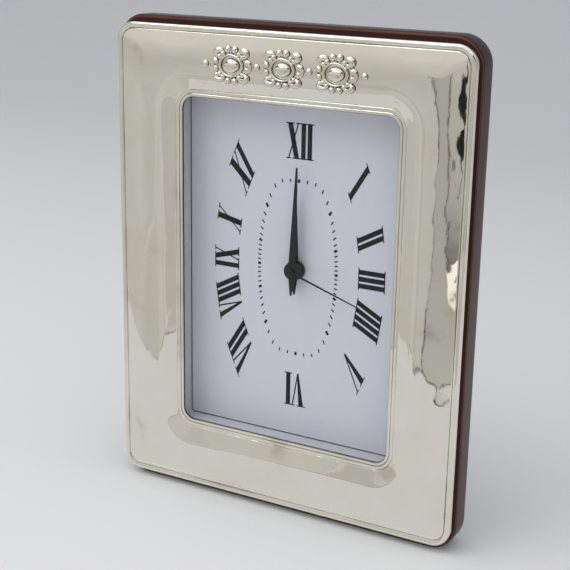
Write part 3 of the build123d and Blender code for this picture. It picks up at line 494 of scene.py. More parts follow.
def rounded_outline(half_width, half_height, corner, corner_steps=12, side_steps=4):
    """Gives a rounded rectangle in X and Z, with as many points for any size."""
    arcs = []
    for quarter, (across, up) in enumerate(((1, 1), (-1, 1), (-1, -1), (1, -1))):
        arc = []
        for angle in evenly(quarter * math.pi / 2, (quarter + 1) * math.pi / 2, corner_steps + 1):
            arc.append(Vector((across * (half_width - corner) + corner * math.cos(angle), 0.0,
                               up * (half_height - corner) + corner * math.sin(angle))))
        arcs.append(arc)
    points = []
    for quarter, arc in enumerate(arcs):
        following = arcs[(quarter + 1) % len(arcs)][0]
        points += arc
        points += [arc[-1].lerp(following, step / side_steps) for step in range(1, side_steps)]
    return points


def shifted(points, y, z):
    """Moves an outline to a depth and a height."""
    return [point + Vector((0.0, y, z)) for point in points]


def bridge(bm, lower, upper):
    """Adds the faces between two closed loops of points, of which one may be a single point."""
    count = max(len(lower), len(upper))
    faces = []
    for step in range(count):
        after = (step + 1) % count
        corners = [lower[step % len(lower)], lower[after % len(lower)],
                   upper[after % len(upper)], upper[step % len(upper)]]
        faces.append(bm.faces.new(list(dict.fromkeys(corners))))
    return faces


def join_loops(bm, loops, ring=False, grain=None):
    """Covers a row of closed loops with faces, and can lay out their lengths as a map for the grain."""
    rows = [[bm.verts.new(point) for point in loop] for loop in loops]
    pairs = list(zip(rows, rows[1:]))
    if ring:
        pairs.append((rows[-1], rows[0]))
    layer = bm.loops.layers.uv.new(grain) if grain else None
    across = 0.0
    for lower, upper in pairs:
        after = across + (upper[0].co - lower[0].co).length
        along = 0.0
        for face in bridge(bm, lower, upper):
            reach = along + (face.verts[1].co - face.verts[0].co).length
            if layer:
                places = ((along, across), (reach, across), (reach, after), (along, after))
                for corner, place in zip(face.loops, places):
                    corner[layer].uv = place
            along = reach
        across = after


def add_slab(bm, outline, offset):
    """Adds a closed slab between an outline and its copy at an offset."""
    near = [bm.verts.new(point) for point in outline]
    far = [bm.verts.new(point + Vector(offset)) for point in outline]
    bm.faces.new(near)
    bm.faces.new(far)
    bridge(bm, near, far)


def add_turned(bm, profile, place, turn=Matrix.Identity(3), steps=48, closed=False, oval=1.0):
    """Adds a form turned about its own Z axis from radii and heights; a radius of zero makes a pole."""
    rows = []
    for radius, height in profile:
        row = []
        for step in range(1 if radius == 0.0 else steps):
            angle = 2 * math.pi * step / steps
            local = Vector((radius * math.cos(angle), radius * math.sin(angle) * oval, height))
            row.append(bm.verts.new(place + turn @ local))
        rows.append(row)
    for lower, upper in zip(rows, rows[1:]):
        bridge(bm, lower, upper)
    if closed:
        bridge(bm, rows[-1], rows[0])


def add_tube(bm, path, radii, sides=8, flatten=1.0):
    """Adds a round bar along a path in X and Z, with its ends closed."""
    rows = []
    for step, (point, radius) in enumerate(zip(path, radii)):
        ahead = path[min(step + 1, len(path) - 1)] - path[max(step - 1, 0)]
        side = Vector((ahead.z, 0.0, -ahead.x)).normalized()
        row = []
        for turn in range(sides):
            angle = 2 * math.pi * turn / sides
            row.append(bm.verts.new(point + side * radius * math.cos(angle)
                                    + Vector((0.0, radius * flatten * math.sin(angle), 0.0))))
        rows.append(row)
    for lower, upper in zip(rows, rows[1:]):
        bridge(bm, lower, upper)
    for row in (rows[0], rows[-1]):
        bm.faces.new(row)


def soften(bm, width, segments=2, limit=30.0):
    """Rounds the edges that turn by more than a limit in degrees."""
    edges = [edge for edge in bm.edges if edge.calc_face_angle(0.0) > math.radians(limit)]
    bmesh.ops.bevel(bm, geom=edges, offset=width, segments=segments, profile=0.5, affect="EDGES",
                    clamp_overlap=True)


def new_tree(name, inputs):
    """Starts a geometry tree with named inputs."""
    tree = bpy.data.node_groups.new(name, "GeometryNodeTree")
    tree.interface.new_socket(name="Geometry", in_out="INPUT", socket_type="NodeSocketGeometry")
    for label, kind in inputs:
        tree.interface.new_socket(name=label, in_out="INPUT", socket_type="NodeSocket" + kind)
    tree.interface.new_socket(name="Geometry", in_out="OUTPUT", socket_type="NodeSocketGeometry")
    return tree, tree.nodes.new("NodeGroupInput").outputs


def close_tree(tree, geometry, material):
    """Ends a tree in plain geometry with its material."""
    real = tree_node(tree, "GeometryNodeRealizeInstances", (("Geometry", geometry),))
    painted = tree_node(tree, "GeometryNodeSetMaterial", (("Geometry", real), ("Material", material)))
    tree.links.new(painted, tree.nodes.new("NodeGroupOutput").inputs["Geometry"])


def tree_copies(tree, points, instance, *more):
    """Sets copies of a form on points."""
    links = (("Points", points), ("Instance", instance), *more)
    return tree_node(tree, "GeometryNodeInstanceOnPoints", links)


def tree_vector(tree, **parts):
    """Joins coordinates named X, Y and Z into a vector."""
    return tree_node(tree, "ShaderNodeCombineXYZ", tuple(parts.items()))


def grow(name, bm, tree, values, limit=35.0):
    """Runs a tree on a mesh and gives its result as a plain object."""
    mesh = bpy.data.meshes.new(name)
    bm.to_mesh(mesh)
    bm.free()
    piece = bpy.data.objects.new(name, mesh)
    bpy.context.scene.collection.objects.link(piece)
    modifier = piece.modifiers.new("tree", "NODES")
    modifier.node_group = tree
    for item in tree.interface.items_tree:
        if item.in_out == "INPUT" and item.name in values:
            modifier[item.identifier] = values[item.name]
    graph = bpy.context.evaluated_depsgraph_get()
    grown = bpy.data.meshes.new_from_object(piece.evaluated_get(graph), depsgraph=graph)
    piece.modifiers.remove(modifier)
    piece.data = grown
    form = bmesh.new()
    form.from_mesh(grown)
    bmesh.ops.recalc_face_normals(form, faces=form.faces)
    smooth_edges(form, limit)
    form.to_mesh(grown)
    form.free()
    return piece


def dip(distance, middle, width):
    """Gives the soft section of a fine line, one in its middle and nought away from it."""
    return math.exp(-((distance - middle) / width) ** 2)


def panel_height(settings, inset):
    """Height of the panel at a distance from the outer edge."""
    share = (settings.crest_inset - inset) / settings.crest_inset
    edge_fall = 1.5 * settings.pillow
    return settings.crest - edge_fall * share ** 2


def roll_height(settings, distance):
    """Height of the roll at a distance from the window: it bends down, runs straight and ends in the lip."""
    bend = settings.roll_start - settings.roll_full
    bent = min(bend, max(0.0, settings.roll_start - distance))
    straight = min(settings.roll_full - settings.lip_width, max(0.0, settings.roll_full - distance))
    flat = max(0.0, settings.lip_width - distance)
    drop = settings.roll_slope * (bent ** 2 / (2 * bend) + straight) + settings.lip_slope * flat
    return settings.crest - drop


def lip_lines(settings):
    """Gives the distances of the lip's two fine lines from the window."""
    return settings.lip_line + settings.lip_line_gap, settings.lip_line


def front_section(settings, lined):
    """Gives the section of the front from its outer edge to the window: side, distance and height."""
    bead = settings.bead_radius
    bead_base = panel_height(settings, 2 * bead) + settings.bead_rise - bead
    section = [("outer", 0.0, 0.0)]
    for angle in evenly(math.pi, math.pi / 2, 8):
        section.append(("outer", bead + bead * math.cos(angle), bead_base + bead * math.sin(angle)))
    line = settings.line_depth if lined else 0.0
    groove_width = 0.22 * MM
    for inset in evenly(bead * 1.15, 2.6 * bead, 13):
        arch = bead_base + math.sqrt(max(0.0, bead ** 2 - (inset - bead) ** 2))
        groove = dip(inset, settings.bead_line * bead, groove_width)
        ground = panel_height(settings, inset) - line * groove
        section.append(("outer", inset, max(arch, ground)))
    for inset in evenly(3 * bead, 0.8 * settings.crest_inset, 8):
        section.append(("outer", inset, panel_height(settings, inset)))
    roll_end = 3.6 * MM
    for distance in evenly(settings.roll_start, roll_end, 13):
        section.append(("inner", distance, roll_height(settings, distance)))
    lip_start = 3.3 * MM
    lip_end = 0.8 * MM
    for distance in evenly(lip_start, lip_end, 22):
        lines = sum(dip(distance, place, settings.lip_line_width) for place in lip_lines(settings))
        section.append(("inner", distance, roll_height(settings, distance) - line * lines))
    rim = settings.rim_round
    for angle in evenly(math.pi / 2, 0.0, 8):
        height = roll_height(settings, rim) - rim + rim * math.sin(angle)
        section.append(("inner", rim - rim * math.cos(angle), height))
    section.append(("inner", 0.0, 0.0))
    return section


def inset_section(settings, section, depth):
    """Moves a section inwards by a depth, to the back of the sheet."""
    border = SILVER_HIGH.x - settings.opening_width / 2
    flat = [(distance if side == "outer" else border - distance, height)
            for side, distance, height in section]
    moved = []
    for step, (side, distance, height) in enumerate(section):
        before = flat[max(step - 1, 0)]
        after = flat[min(step + 1, len(flat) - 1)]
        run = Vector((after[0] - before[0], after[1] - before[1])).normalized()
        inward = depth * run.y if side == "outer" else -depth * run.y
        moved.append((side, distance + inward, max(0.0, height - depth * run.x)))
    return moved


def polish_wave(settings, point, side, distance):
    """Height of the waves, streaks and dents of the panel, or of the unevenness of bead and lip."""
    fade = min(1.0, max(0.0, (distance - settings.wave_start) / settings.wave_fade))
    place = Vector((point.x, 0.0, point.z)) / settings.polish_spacing
    finer = place * 2.7 + Vector((5.0, 1.0, 3.0))
    wave = noise.noise(place) + 0.30 * noise.noise(finer)
    along = (point.x + point.z) / settings.streak_length
    streak = noise.noise(Vector((distance / settings.streak_width, along, 7.0)))
    corner = Vector((abs(point.x) - settings.opening_width / 2,
                     abs(point.z - SILVER_CENTRE_Z) - settings.opening_height / 2))
    near = math.exp(-(corner.length / settings.dent_reach) ** 2)
    dent = noise.noise(Vector((point.x, 0.0, point.z)) / settings.dent_spacing)
    uneven = noise.noise(Vector((point.x, 3.0, point.z)) / settings.dent_spacing)
    panel = settings.polish_depth * wave + settings.streak_depth * streak + settings.dent_depth * near * dent
    edge = settings.bead_wave if side == "outer" else settings.lip_wave
    return fade * panel + (1.0 - fade) * edge * uneven


def front_loops(settings, section, polished=False):
    """Turns a section of the front into loops round the window."""
    loops = []
    for side, distance, height in section:
        if side == "outer":
            sizes = (SILVER_HIGH.x - distance, (SILVER_HIGH.z - SILVER_LOW.z) / 2 - distance,
                     max(settings.outer_corner - distance, 2.0 * MM))
        else:
            sizes = (settings.opening_width / 2 + distance, settings.opening_height / 2 + distance,
                     settings.opening_corner + distance)
        outline = rounded_outline(*sizes, corner_steps=16, side_steps=84)
        loop = shifted(outline, FRONT_Y - height, SILVER_CENTRE_Z)
        if polished:
            for point in loop:
                wave = polish_wave(settings, point, side, distance)
                point.y -= wave * min(1.0, height / settings.bead_radius)
        loops.append(loop)
    return loops


def polish_and_shade_share(settings, side, distance, height):
    """Gives how well a cloth polishes a place on the front: less in the lines, where patina sits, and down
    the window's edge, where the darkening is painted shade of the gap between lip and glass.
    """
    if side == "outer":
        return 1.0 - 0.65 * dip(distance, settings.bead_line * settings.bead_radius, 0.26 * MM)
    # Down the window's edge the darkening is painted shade of the gap between lip and glass.
    if distance < settings.rim_round:
        depth = roll_height(settings, settings.rim_round) - height
        return max(0.0, 1.0 - 2.5 * depth / settings.rim_round)
    outer, inner = lip_lines(settings)
    return 1.0 - 0.8 * dip(distance, inner, 0.18 * MM) - 0.35 * dip(distance, outer, settings.lip_line_width)


def mark_polish_and_shade(piece, settings, section, loop_size):
    """Keeps the share of polish on the points of the front's loops, with painted shade down the window's
    edge, and full polish behind them.
    """
    shares = piece.data.attributes.new("polish", "FLOAT", "POINT").data
    for place in shares:
        place.value = 1.0
    for number, (side, distance, height) in enumerate(section):
        for step in range(loop_size):
            shares[number * loop_size + step].value = polish_and_shade_share(settings, side, distance, height)


class CLOCK_OT_silver_front(bpy.types.Operator):
    """Makes the pressed silver front and the filling behind it"""
    bl_idname = "clock.silver_front"
    bl_label = "Silver Front"

    def execute(self, context):
        settings = context.scene.clock_silver
        section = front_section(settings, lined=True)
        face = front_loops(settings, section, polished=True)
        plain = inset_section(settings, front_section(settings, lined=False), settings.sheet)
        back = front_loops(settings, plain)
        sheet = bmesh.new()
        join_loops(sheet, face + back[::-1], ring=True)
        # Its polish attribute carries patina in the lines and painted shade down the window's edge.
        silver = silver_finish("polished_silver", settings, lambda finish: finish.attribute("polish"))
        front = make_piece("silver_front_face", sheet, silver, limit=50.0)
        mark_polish_and_shade(front, settings, section, len(face[0]))
        settle(front, "frame", ["silver_front"])
        core = bmesh.new()
        gap = 0.02 * MM
        filling = inset_section(settings, front_section(settings, lined=False), settings.sheet + gap)
        join_loops(core, front_loops(settings, filling), ring=True)
        resin = mottled("cast_resin", (0.62, 0.58, 0.50), (0.54, 0.50, 0.43), 3.0 * MM, 0.6)
        settle(make_piece("resin_filling", core, resin), "frame", ["resin_core"])
        return {"FINISHED"}


def scroll_path(middle, reach, start, end, steps=18):
    """Gives a scroll in X and Z, as part of an oval about its middle."""
    path = []
    for angle in evenly(math.radians(start), math.radians(end), steps):
        path.append(middle + Vector((reach[0] * math.cos(angle), 0.0, reach[1] * math.sin(angle))))
    return path


def swelling(thin, thick, steps=18):
    """Gives radii that swell from thin ends to a thick middle."""
    return [thin + (thick - thin) * math.sin(math.pi * share) for share in evenly(0.0, 1.0, steps)]


def add_bead(bm, x, z, radius, lift=0.0):
    """Adds a round bead that sits half in the panel."""
    outwards = Matrix.Rotation(math.pi / 2, 3, "X")
    profile = [(radius * math.sin(angle), lift - radius * math.cos(angle))
               for angle in evenly(0.0, math.pi, 9)]
    profile[0] = (0.0, profile[0][1])
    profile[-1] = (0.0, profile[-1][1])
    add_turned(bm, profile, Vector((x, 0.0, z)), outwards, steps=16)


# Beads of a medallion's right half: place from its centre and radius
MEDALLION_BEADS = (
    ((1.35 * MM, 5.40 * MM), 1.30 * MM),
    ((0.00 * MM, 4.60 * MM), 0.75 * MM),
    ((6.15 * MM, 1.15 * MM), 1.05 * MM),
    ((6.15 * MM, -1.15 * MM), 1.05 * MM),
    ((7.55 * MM, 0.00 * MM), 0.85 * MM),
    ((1.35 * MM, -5.30 * MM), 1.30 * MM),
    ((0.00 * MM, -4.55 * MM), 0.75 * MM),
)
# Scrolls of a medallion's upper right quarter: middle, reach across and up, and angles from start to end
CORNER_SCROLL = (Vector((4.70 * MM, -0.15 * MM, 4.05 * MM)), (1.45 * MM, 1.05 * MM), -95.0, 185.0)
SIDE_SCROLL = (Vector((6.05 * MM, -0.10 * MM, 0.0)), (1.35 * MM, 1.95 * MM), -112.0, 112.0)


def add_medallion(bm, settings):
    """Adds one medallion about the origin: an oval boss in its collar, in a wreath of scrolls and beads."""
    outwards = Matrix.Rotation(math.pi / 2, 3, "X")
    half_width = settings.cabochon_width / 2
    half_height = settings.cabochon_height / 2
    dome = [(half_width * math.cos(angle), settings.cabochon_rise * math.sin(angle))
            for angle in evenly(0.0, math.pi / 2, 10)]
    dome[-1] = (0.0, settings.cabochon_rise)
    root = -0.3 * MM
    add_turned(bm, [(0.0, root), (half_width, root)] + dome, Vector(), outwards, 40,
               oval=half_height / half_width)
    collar_lift = 0.5 * MM
    ring = []
    sides = 12
    for step in range(sides):
        angle = 2 * math.pi * step / sides
        ring.append((half_width + settings.collar_gap + settings.collar_radius * math.cos(angle),
                     collar_lift + 1.2 * settings.collar_radius * math.sin(angle)))
    oval = (half_height + settings.collar_gap) / (half_width + settings.collar_gap)
    add_turned(bm, ring, Vector(), outwards, 40, closed=True, oval=oval)
    corner = scroll_path(*CORNER_SCROLL)
    side = scroll_path(*SIDE_SCROLL)
    corner_radii = swelling(0.5 * MM, settings.corner_scroll)
    side_radii = swelling(0.45 * MM, settings.side_scroll)
    end_lift = 0.3 * MM
    for across in (-1, 1):
        for up in (-1, 1):
            path = [Vector((across * point.x, point.y, up * point.z)) for point in corner]
            add_tube(bm, path, corner_radii, flatten=1.1)
            for end in (path[0], path[-1]):
                add_bead(bm, end.x, end.z, settings.scroll_end, end_lift)
        path = [Vector((across * point.x, point.y, point.z)) for point in side]
        add_tube(bm, path, side_radii, flatten=1.1)
        for (x, z), radius in MEDALLION_BEADS:
            add_bead(bm, across * x, z, radius)


def ornament_tree(material):
    """Repeats a medallion along a row, with beads between them and at both ends."""
    tree, source = new_tree("ornament_row", (("Count", "Int"), ("Spacing", "Float"), ("Row Start", "Vector"),
                                             ("Link Start", "Vector"), ("Bead Radius", "Float"),
                                             ("End Reach", "Float")))
    count = source["Count"]
    step = tree_vector(tree, X=source["Spacing"])

    def row(number, start):
        return tree_node(tree, "GeometryNodeMeshLine", (("Count", number), ("Start Location", source[start]),
                                                        ("Offset", step)))

    medallions = tree_copies(tree, row(count, "Row Start"), source["Geometry"])
    index = tree_node(tree, "GeometryNodeInputIndex")
    first = tree_math(tree, "LESS_THAN", index, 0.5)
    last = tree_math(tree, "GREATER_THAN", index, tree_math(tree, "SUBTRACT", count, 0.5))
    reach = tree_math(tree, "MULTIPLY", tree_math(tree, "SUBTRACT", last, first), source["End Reach"])
    link_row = row(tree_math(tree, "ADD", count, 1.0), "Link Start")
    nudge = tree_vector(tree, X=reach)
    spread = tree_node(tree, "GeometryNodeSetPosition", (("Geometry", link_row), ("Offset", nudge)))
    ball = tree_node(tree, "GeometryNodeMeshUVSphere", (("Segments", 20), ("Rings", 12),
                                                        ("Radius", source["Bead Radius"])))
    beads = tree_copies(tree, spread, ball)
    joined = tree_node(tree, "GeometryNodeJoinGeometry", (("Geometry", medallions), ("Geometry", beads)))
    close_tree(tree, joined, material)
    return tree


class CLOCK_OT_ornament(bpy.types.Operator):
    """Makes the row of medallions on the top border"""
    bl_idname = "clock.ornament"
    bl_label = "Ornament"

    def execute(self, context):
        settings = context.scene.clock_ornament
        silver = context.scene.clock_silver
        height = (SILVER_CENTRE_Z + silver.opening_height / 2 + SILVER_HIGH.z) / 2
        ground = FRONT_Y - panel_height(silver, SILVER_HIGH.z - height)
        bm = bmesh.new()
        add_medallion(bm, settings)
        # Below open_face the ornament darkens: patina in its crevices and painted contact shade at its foot.
        open_face = ground - settings.patina_and_shade_height

        def polish(finish):
            depth = finish.axis("Y")
            return finish.span(depth, 0.0, 1.0, source=(ground - 0.05 * MM, open_face))

        tree = ornament_tree(silver_finish("embossed_silver", silver, polish))
        first = -settings.spacing * (settings.medallions - 1) / 2
        values = {"Count": settings.medallions, "Spacing": settings.spacing,
                  "Row Start": (first, ground, height),
                  "Link Start": (first - settings.spacing / 2, ground, height),
                  "Bead Radius": settings.bead_radius,
                  "End Reach": settings.end_distance - settings.spacing / 2}
        settle(grow("silver_ornament", bm, tree, values, limit=60.0), "frame")
        return {"FINISHED"}


class CLOCK_OT_wood_body(bpy.types.Operator):
    """Makes the wooden body with its rounded edges"""
    bl_idname = "clock.wood_body"
    bl_label = "Wooden Body"

    def execute(self, context):
        settings = context.scene.clock_wood
        middle_z = (WOOD_LOW.z + WOOD_HIGH.z) / 2
        half_height = (WOOD_HIGH.z - WOOD_LOW.z) / 2
        gap = settings.pane_clearance
        rebate = rounded_outline(PANE_HIGH.x + gap, (PANE_HIGH.z - PANE_LOW.z) / 2 + gap,
                                 settings.rebate_corner)
        rebate_z = (PANE_LOW.z + PANE_HIGH.z) / 2

        def rounds(side, head, depth, edge_y):
            """Gives the loops of a rounded edge, from its face to the sides."""
            arc = []
            for angle in evenly(0.0, math.pi / 2, 12):
                left = 1 - math.sin(angle)
                outline = rounded_outline(WOOD_HIGH.x - side * left, half_height - head * left,
                                          settings.corner - side * left)
                arc.append(shifted(outline, edge_y + depth * (1 - math.cos(angle)), middle_z))
            return arc

        rear = settings.rear_round
        loops = [shifted(rebate, FRONT_Y, rebate_z)]
        loops += rounds(settings.front_round, settings.head_round, settings.round_depth, FRONT_Y)
        loops += rounds(rear, rear, -rear, REAR_Y)[::-1]
        loops.append(shifted(rebate, REAR_Y, rebate_z))
        bm = bmesh.new()
        join_loops(bm, loops, ring=True, grain="grain")
        # The body's finish carries a painted shadow beside the silver and a painted highlight on its front
        # edge.
        wood = wood_finish("lacquered_wood", settings, (90.0, 1500.0, 1.0), "UV", painted_edge_light=True)
        settle(make_piece("wood_body_shell", bm, wood), "frame", ["wood_body"])
        return {"FINISHED"}


def stroke(left_foot, right_foot, left_head, right_head, foot_serif=True):
    """Describes one stroke of a numeral by where its sides stand at the foot and the head."""
    return (left_foot, right_foot, left_head, right_head, foot_serif)


def letter_strokes(letter, settings):
    """Gives a letter's strokes and its width."""
    stem = settings.stem
    thin = settings.hairline
    if letter == "I":
        return [stroke(0.0, stem, 0.0, stem)], stem
    if letter == "V":
        width = settings.v_width
        foot = 0.52 * width
        return [stroke(foot - 0.2 * stem, foot + 0.2 * stem, 0.0, 1.1 * stem, foot_serif=False),
                stroke(foot - 0.5 * thin, foot + 0.5 * thin, width - thin, width, foot_serif=False)], width
    width = settings.x_width
    return [stroke(width - 1.1 * stem, width, 0.0, 1.1 * stem),
            stroke(0.15 * stem, 0.15 * stem + thin, width - 0.15 * stem - thin, width - 0.15 * stem)], width


NUMERALS = ("XII", "I", "II", "III", "IIII", "V", "VI", "VII", "VIII", "IX", "X", "XI")
# Numerals of the upper right quarter: place from the dial's centre, lean of the stems and turn of the
# serifs in degrees from the upright and the level, and height. The other quarters mirror it.
QUARTER_PLACES = (
    ((0.0 * MM, 46.7 * MM), 0.0, 0.0, 12.9 * MM),
    ((23.6 * MM, 34.4 * MM), 31.5, 68.0, 13.3 * MM),
    ((28.7 * MM, 15.0 * MM), 61.5, 81.5, 11.2 * MM),
    ((29.8 * MM, 0.2 * MM), 90.0, 90.0, 10.5 * MM),
)


def numeral_frame(hour):
    """Gives a numeral's centre, its vectors up and to the right in X and Z, and its height."""
    across = 1 if hour <= 6 else -1
    up = 1 if hour <= 3 or hour >= 9 else -1
    quarter = min(hour % 6, 6 - hour % 6)
    (x, z), lean, turn, height = QUARTER_PLACES[quarter]
    lean = math.radians(lean)
    turn = math.radians(turn)
    centre = Vector((across * x, 0.0, AXIS_Z + up * z))
    upright = Vector((across * math.sin(lean), 0.0, up * math.cos(lean))) * height
    right = Vector((up * math.cos(turn), 0.0, -across * math.sin(turn))) / math.cos(turn - lean)
    return centre, upright, right, height


def add_numeral(bm, hour, settings):
    """Adds one printed numeral, whose stems lean out from the dial's centre."""
    centre, upright, right, height = numeral_frame(hour)
    letters = [letter_strokes(letter, settings) for letter in NUMERALS[hour]]
    total = sum(width for strokes, width in letters) + settings.letter_gap * (len(letters) - 1)
    hair = 0.85 * settings.hairline / height
    depth = Vector((0.0, settings.ink_rise + settings.ink_root, 0.0))

    def patch(corners):
        outline = [centre + right * (u - total / 2) + upright * (v - 0.5) for u, v in corners]
        add_slab(bm, shifted(outline, DIAL_Y - settings.ink_rise, 0.0), depth)

    start = 0.0
    for strokes, width in letters:
        for left_foot, right_foot, left_head, right_head, foot_serif in strokes:
            patch([(start + left_foot, 0.0), (start + right_foot, 0.0),
                   (start + right_head, 1.0), (start + left_head, 1.0)])
            serifs = [(left_head, right_head, 1.0 - hair)]
            if foot_serif:
                serifs.insert(0, (left_foot, right_foot, 0.0))
            for left, after, low in serifs:
                first = start + left - settings.serif_reach
                last = start + after + settings.serif_reach
                patch([(first, low), (last, low), (last, low + hair), (first, low + hair)])
        start += width + settings.letter_gap


def track_radius(tree, sine, cosine, half_width, half_height, shoulder):
    """Works out how far the minute track lies from the centre, in a direction."""
    # The greater this is, the sharper the side arcs turn into the level ends
    sharpness = 20.0
    side = tree_math(tree, "DIVIDE", sine, half_width)
    arch = tree_math(tree, "DIVIDE", cosine, shoulder)
    squares = tree_math(tree, "ADD", tree_math(tree, "MULTIPLY", side, side),
                        tree_math(tree, "MULTIPLY", arch, arch))
    sides = tree_math(tree, "POWER", squares, sharpness / 2)
    level = tree_math(tree, "DIVIDE", tree_math(tree, "ABSOLUTE", cosine), half_height)
    ends = tree_math(tree, "POWER", level, sharpness)
    return tree_math(tree, "POWER", tree_math(tree, "ADD", sides, ends), -1 / sharpness)


def track_tree(material):
    """Sets sixty ticks on a tall track with rounded shoulders, every fifth one wider."""
    sizes = ("Half Width", "Half Height", "Shoulder")
    others = ("Band", "Tick Width", "Hour Tick Width", "Ink", "Centre Y", "Centre Z")
    tree, source = new_tree("minute_track", [(name, "Float") for name in sizes + others])
    ticks = 60
    line = tree_node(tree, "GeometryNodeMeshLine", (("Count", ticks),))
    index = tree_node(tree, "GeometryNodeInputIndex")
    angle = tree_math(tree, "MULTIPLY", index, 2 * math.pi / ticks)
    sine = tree_math(tree, "SINE", angle)
    cosine = tree_math(tree, "COSINE", angle)
    radii = []
    for share in (-0.5, 0.5):
        wider = tree_math(tree, "MULTIPLY", source["Band"], share)
        grown = [tree_math(tree, "ADD", source[name], wider) for name in sizes]
        radii.append(track_radius(tree, sine, cosine, *grown))
    inner, outer = radii
    middle = tree_math(tree, "MULTIPLY", tree_math(tree, "ADD", inner, outer), 0.5)
    x = tree_math(tree, "MULTIPLY", middle, sine)
    z = tree_math(tree, "ADD", tree_math(tree, "MULTIPLY", middle, cosine), source["Centre Z"])
    place = tree_vector(tree, X=x, Y=source["Centre Y"], Z=z)
    points = tree_node(tree, "GeometryNodeSetPosition", (("Geometry", line), ("Position", place)))
    is_hour = tree_math(tree, "LESS_THAN", tree_math(tree, "MODULO", index, 5.0), 0.5)
    extra = tree_math(tree, "SUBTRACT", source["Hour Tick Width"], source["Tick Width"])
    width = tree_math(tree, "ADD", source["Tick Width"], tree_math(tree, "MULTIPLY", extra, is_hour))
    size = tree_vector(tree, X=width, Y=source["Ink"], Z=tree_math(tree, "SUBTRACT", outer, inner))
    tick = tree_node(tree, "GeometryNodeMeshCube", (("Size", (1.0, 1.0, 1.0)),))
    turn = tree_vector(tree, Y=angle)
    close_tree(tree, tree_copies(tree, points, tick, ("Rotation", turn), ("Scale", size)), material)
    return tree


class CLOCK_OT_dial(bpy.types.Operator):
    """Makes the glass, the spacer and the printed dial"""
    bl_idname = "clock.dial"
    bl_label = "Glass and Dial"

    def execute(self, context):
        settings = context.scene.clock_dial
        paint("glass", glass_finish())
        paint("dial_sheet", paper_finish(settings))
        paint("dial_spacer", mottled("satin_spacer", (0.62, 0.63, 0.67), (0.58, 0.59, 0.63), 2.0 * MM, 0.45))
        paint("dial_board", mottled("grey_board", (0.70, 0.66, 0.58), (0.58, 0.54, 0.47), 1.0 * MM, 0.85))
        black = tuple(settings.ink)
        soft_black = tuple(1.6 * channel for channel in black)
        ink = mottled("printed_ink", soft_black, black, 0.4 * MM, 0.6, depth=0.003 * MM, gloss=0.12)
        bm = bmesh.new()
        for hour in range(len(NUMERALS)):
            add_numeral(bm, hour, settings)
        settle(make_piece("dial_numerals", bm, ink), "frame")
        ink_depth = settings.ink_rise + settings.ink_root
        values = {"Half Width": settings.track_half_width, "Half Height": settings.track_half_height,
                  "Shoulder": settings.track_shoulder, "Band": settings.track_band,
                  "Tick Width": settings.tick_width, "Hour Tick Width": settings.hour_tick_width,
                  "Ink": ink_depth, "Centre Y": DIAL_Y + (settings.ink_root - settings.ink_rise) / 2,
                  "Centre Z": AXIS_Z}
        settle(grow("dial_minute_track", bmesh.new(), track_tree(ink), values), "frame")
        self.add_shadow_seam(settings)
        return {"FINISHED"}

    def add_shadow_seam(self, settings):
        """Adds a thin dark strip along the foot of the spacer, a painted shadow where it stands on the dial.
        """
        low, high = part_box("dial_spacer")
        wall = settings.spacer_wall
        inner = (high.x - wall, (high.z - low.z) / 2 - wall)
        loops = []
        root = -settings.ink_root
        rise = settings.ink_rise
        for shrink, lift in ((0.0, root), (0.0, rise), (settings.seam, rise), (settings.seam, root)):
            outline = rounded_outline(inner[0] - shrink, inner[1] - shrink, settings.shadow_seam_corner - shrink)
            loops.append(shifted(outline, DIAL_Y - lift, (low.z + high.z) / 2))
        bm = bmesh.new()
        join_loops(bm, loops, ring=True)
        shadow = mottled("seam_shadow", (0.075, 0.080, 0.105), (0.055, 0.060, 0.080), 1.0 * MM, 0.8,
                         gloss=0.1)
        settle(make_piece("dial_shadow_seam", bm, shadow), "frame")


def paint(node, material):
    """Gives a node of the frame its finish."""
    slots = frame["nodes"][node].material_slots
    if not slots:
        raise RuntimeError(f"{node} has no material slot")
    for slot in slots:
        slot.material = material


def turned_outline(points, degrees):
    """Turns an outline in X and Z clockwise about the clock's axis."""
    turn = Matrix.Rotation(math.radians(degrees), 3, "Y")
    return [turn @ Vector((x, 0.0, z)) + Vector((0.0, 0.0, AXIS_Z)) for x, z in points]


def make_hand(settings, name, body, node, outline, degrees, boss, bore):
    """Makes one hand: a flat blade with soft edges and a round boss."""
    low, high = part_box(node)
    bm = bmesh.new()
    blade = turned_outline(outline, degrees)
    add_slab(bm, shifted(blade, low.y, 0.0), (0.0, settings.plate, 0.0))
    soften(bm, settings.edge)
    edge = 2 * settings.edge
    profile = [(bore, 0.0), (boss - edge, 0.0), (boss - 0.3 * edge, 0.3 * edge), (boss, edge),
               (boss, high.y - low.y), (bore, high.y - low.y)]
    inwards = Matrix.Rotation(-math.pi / 2, 3, "X")
    boss_rise = 0.05 * MM
    place = Vector((0.0, low.y - boss_rise, AXIS_Z))
    add_turned(bm, profile, place, inwards, steps=64, closed=True)
    settle(make_piece(name, bm, bpy.data.materials["black_lacquer"]), body, [node])


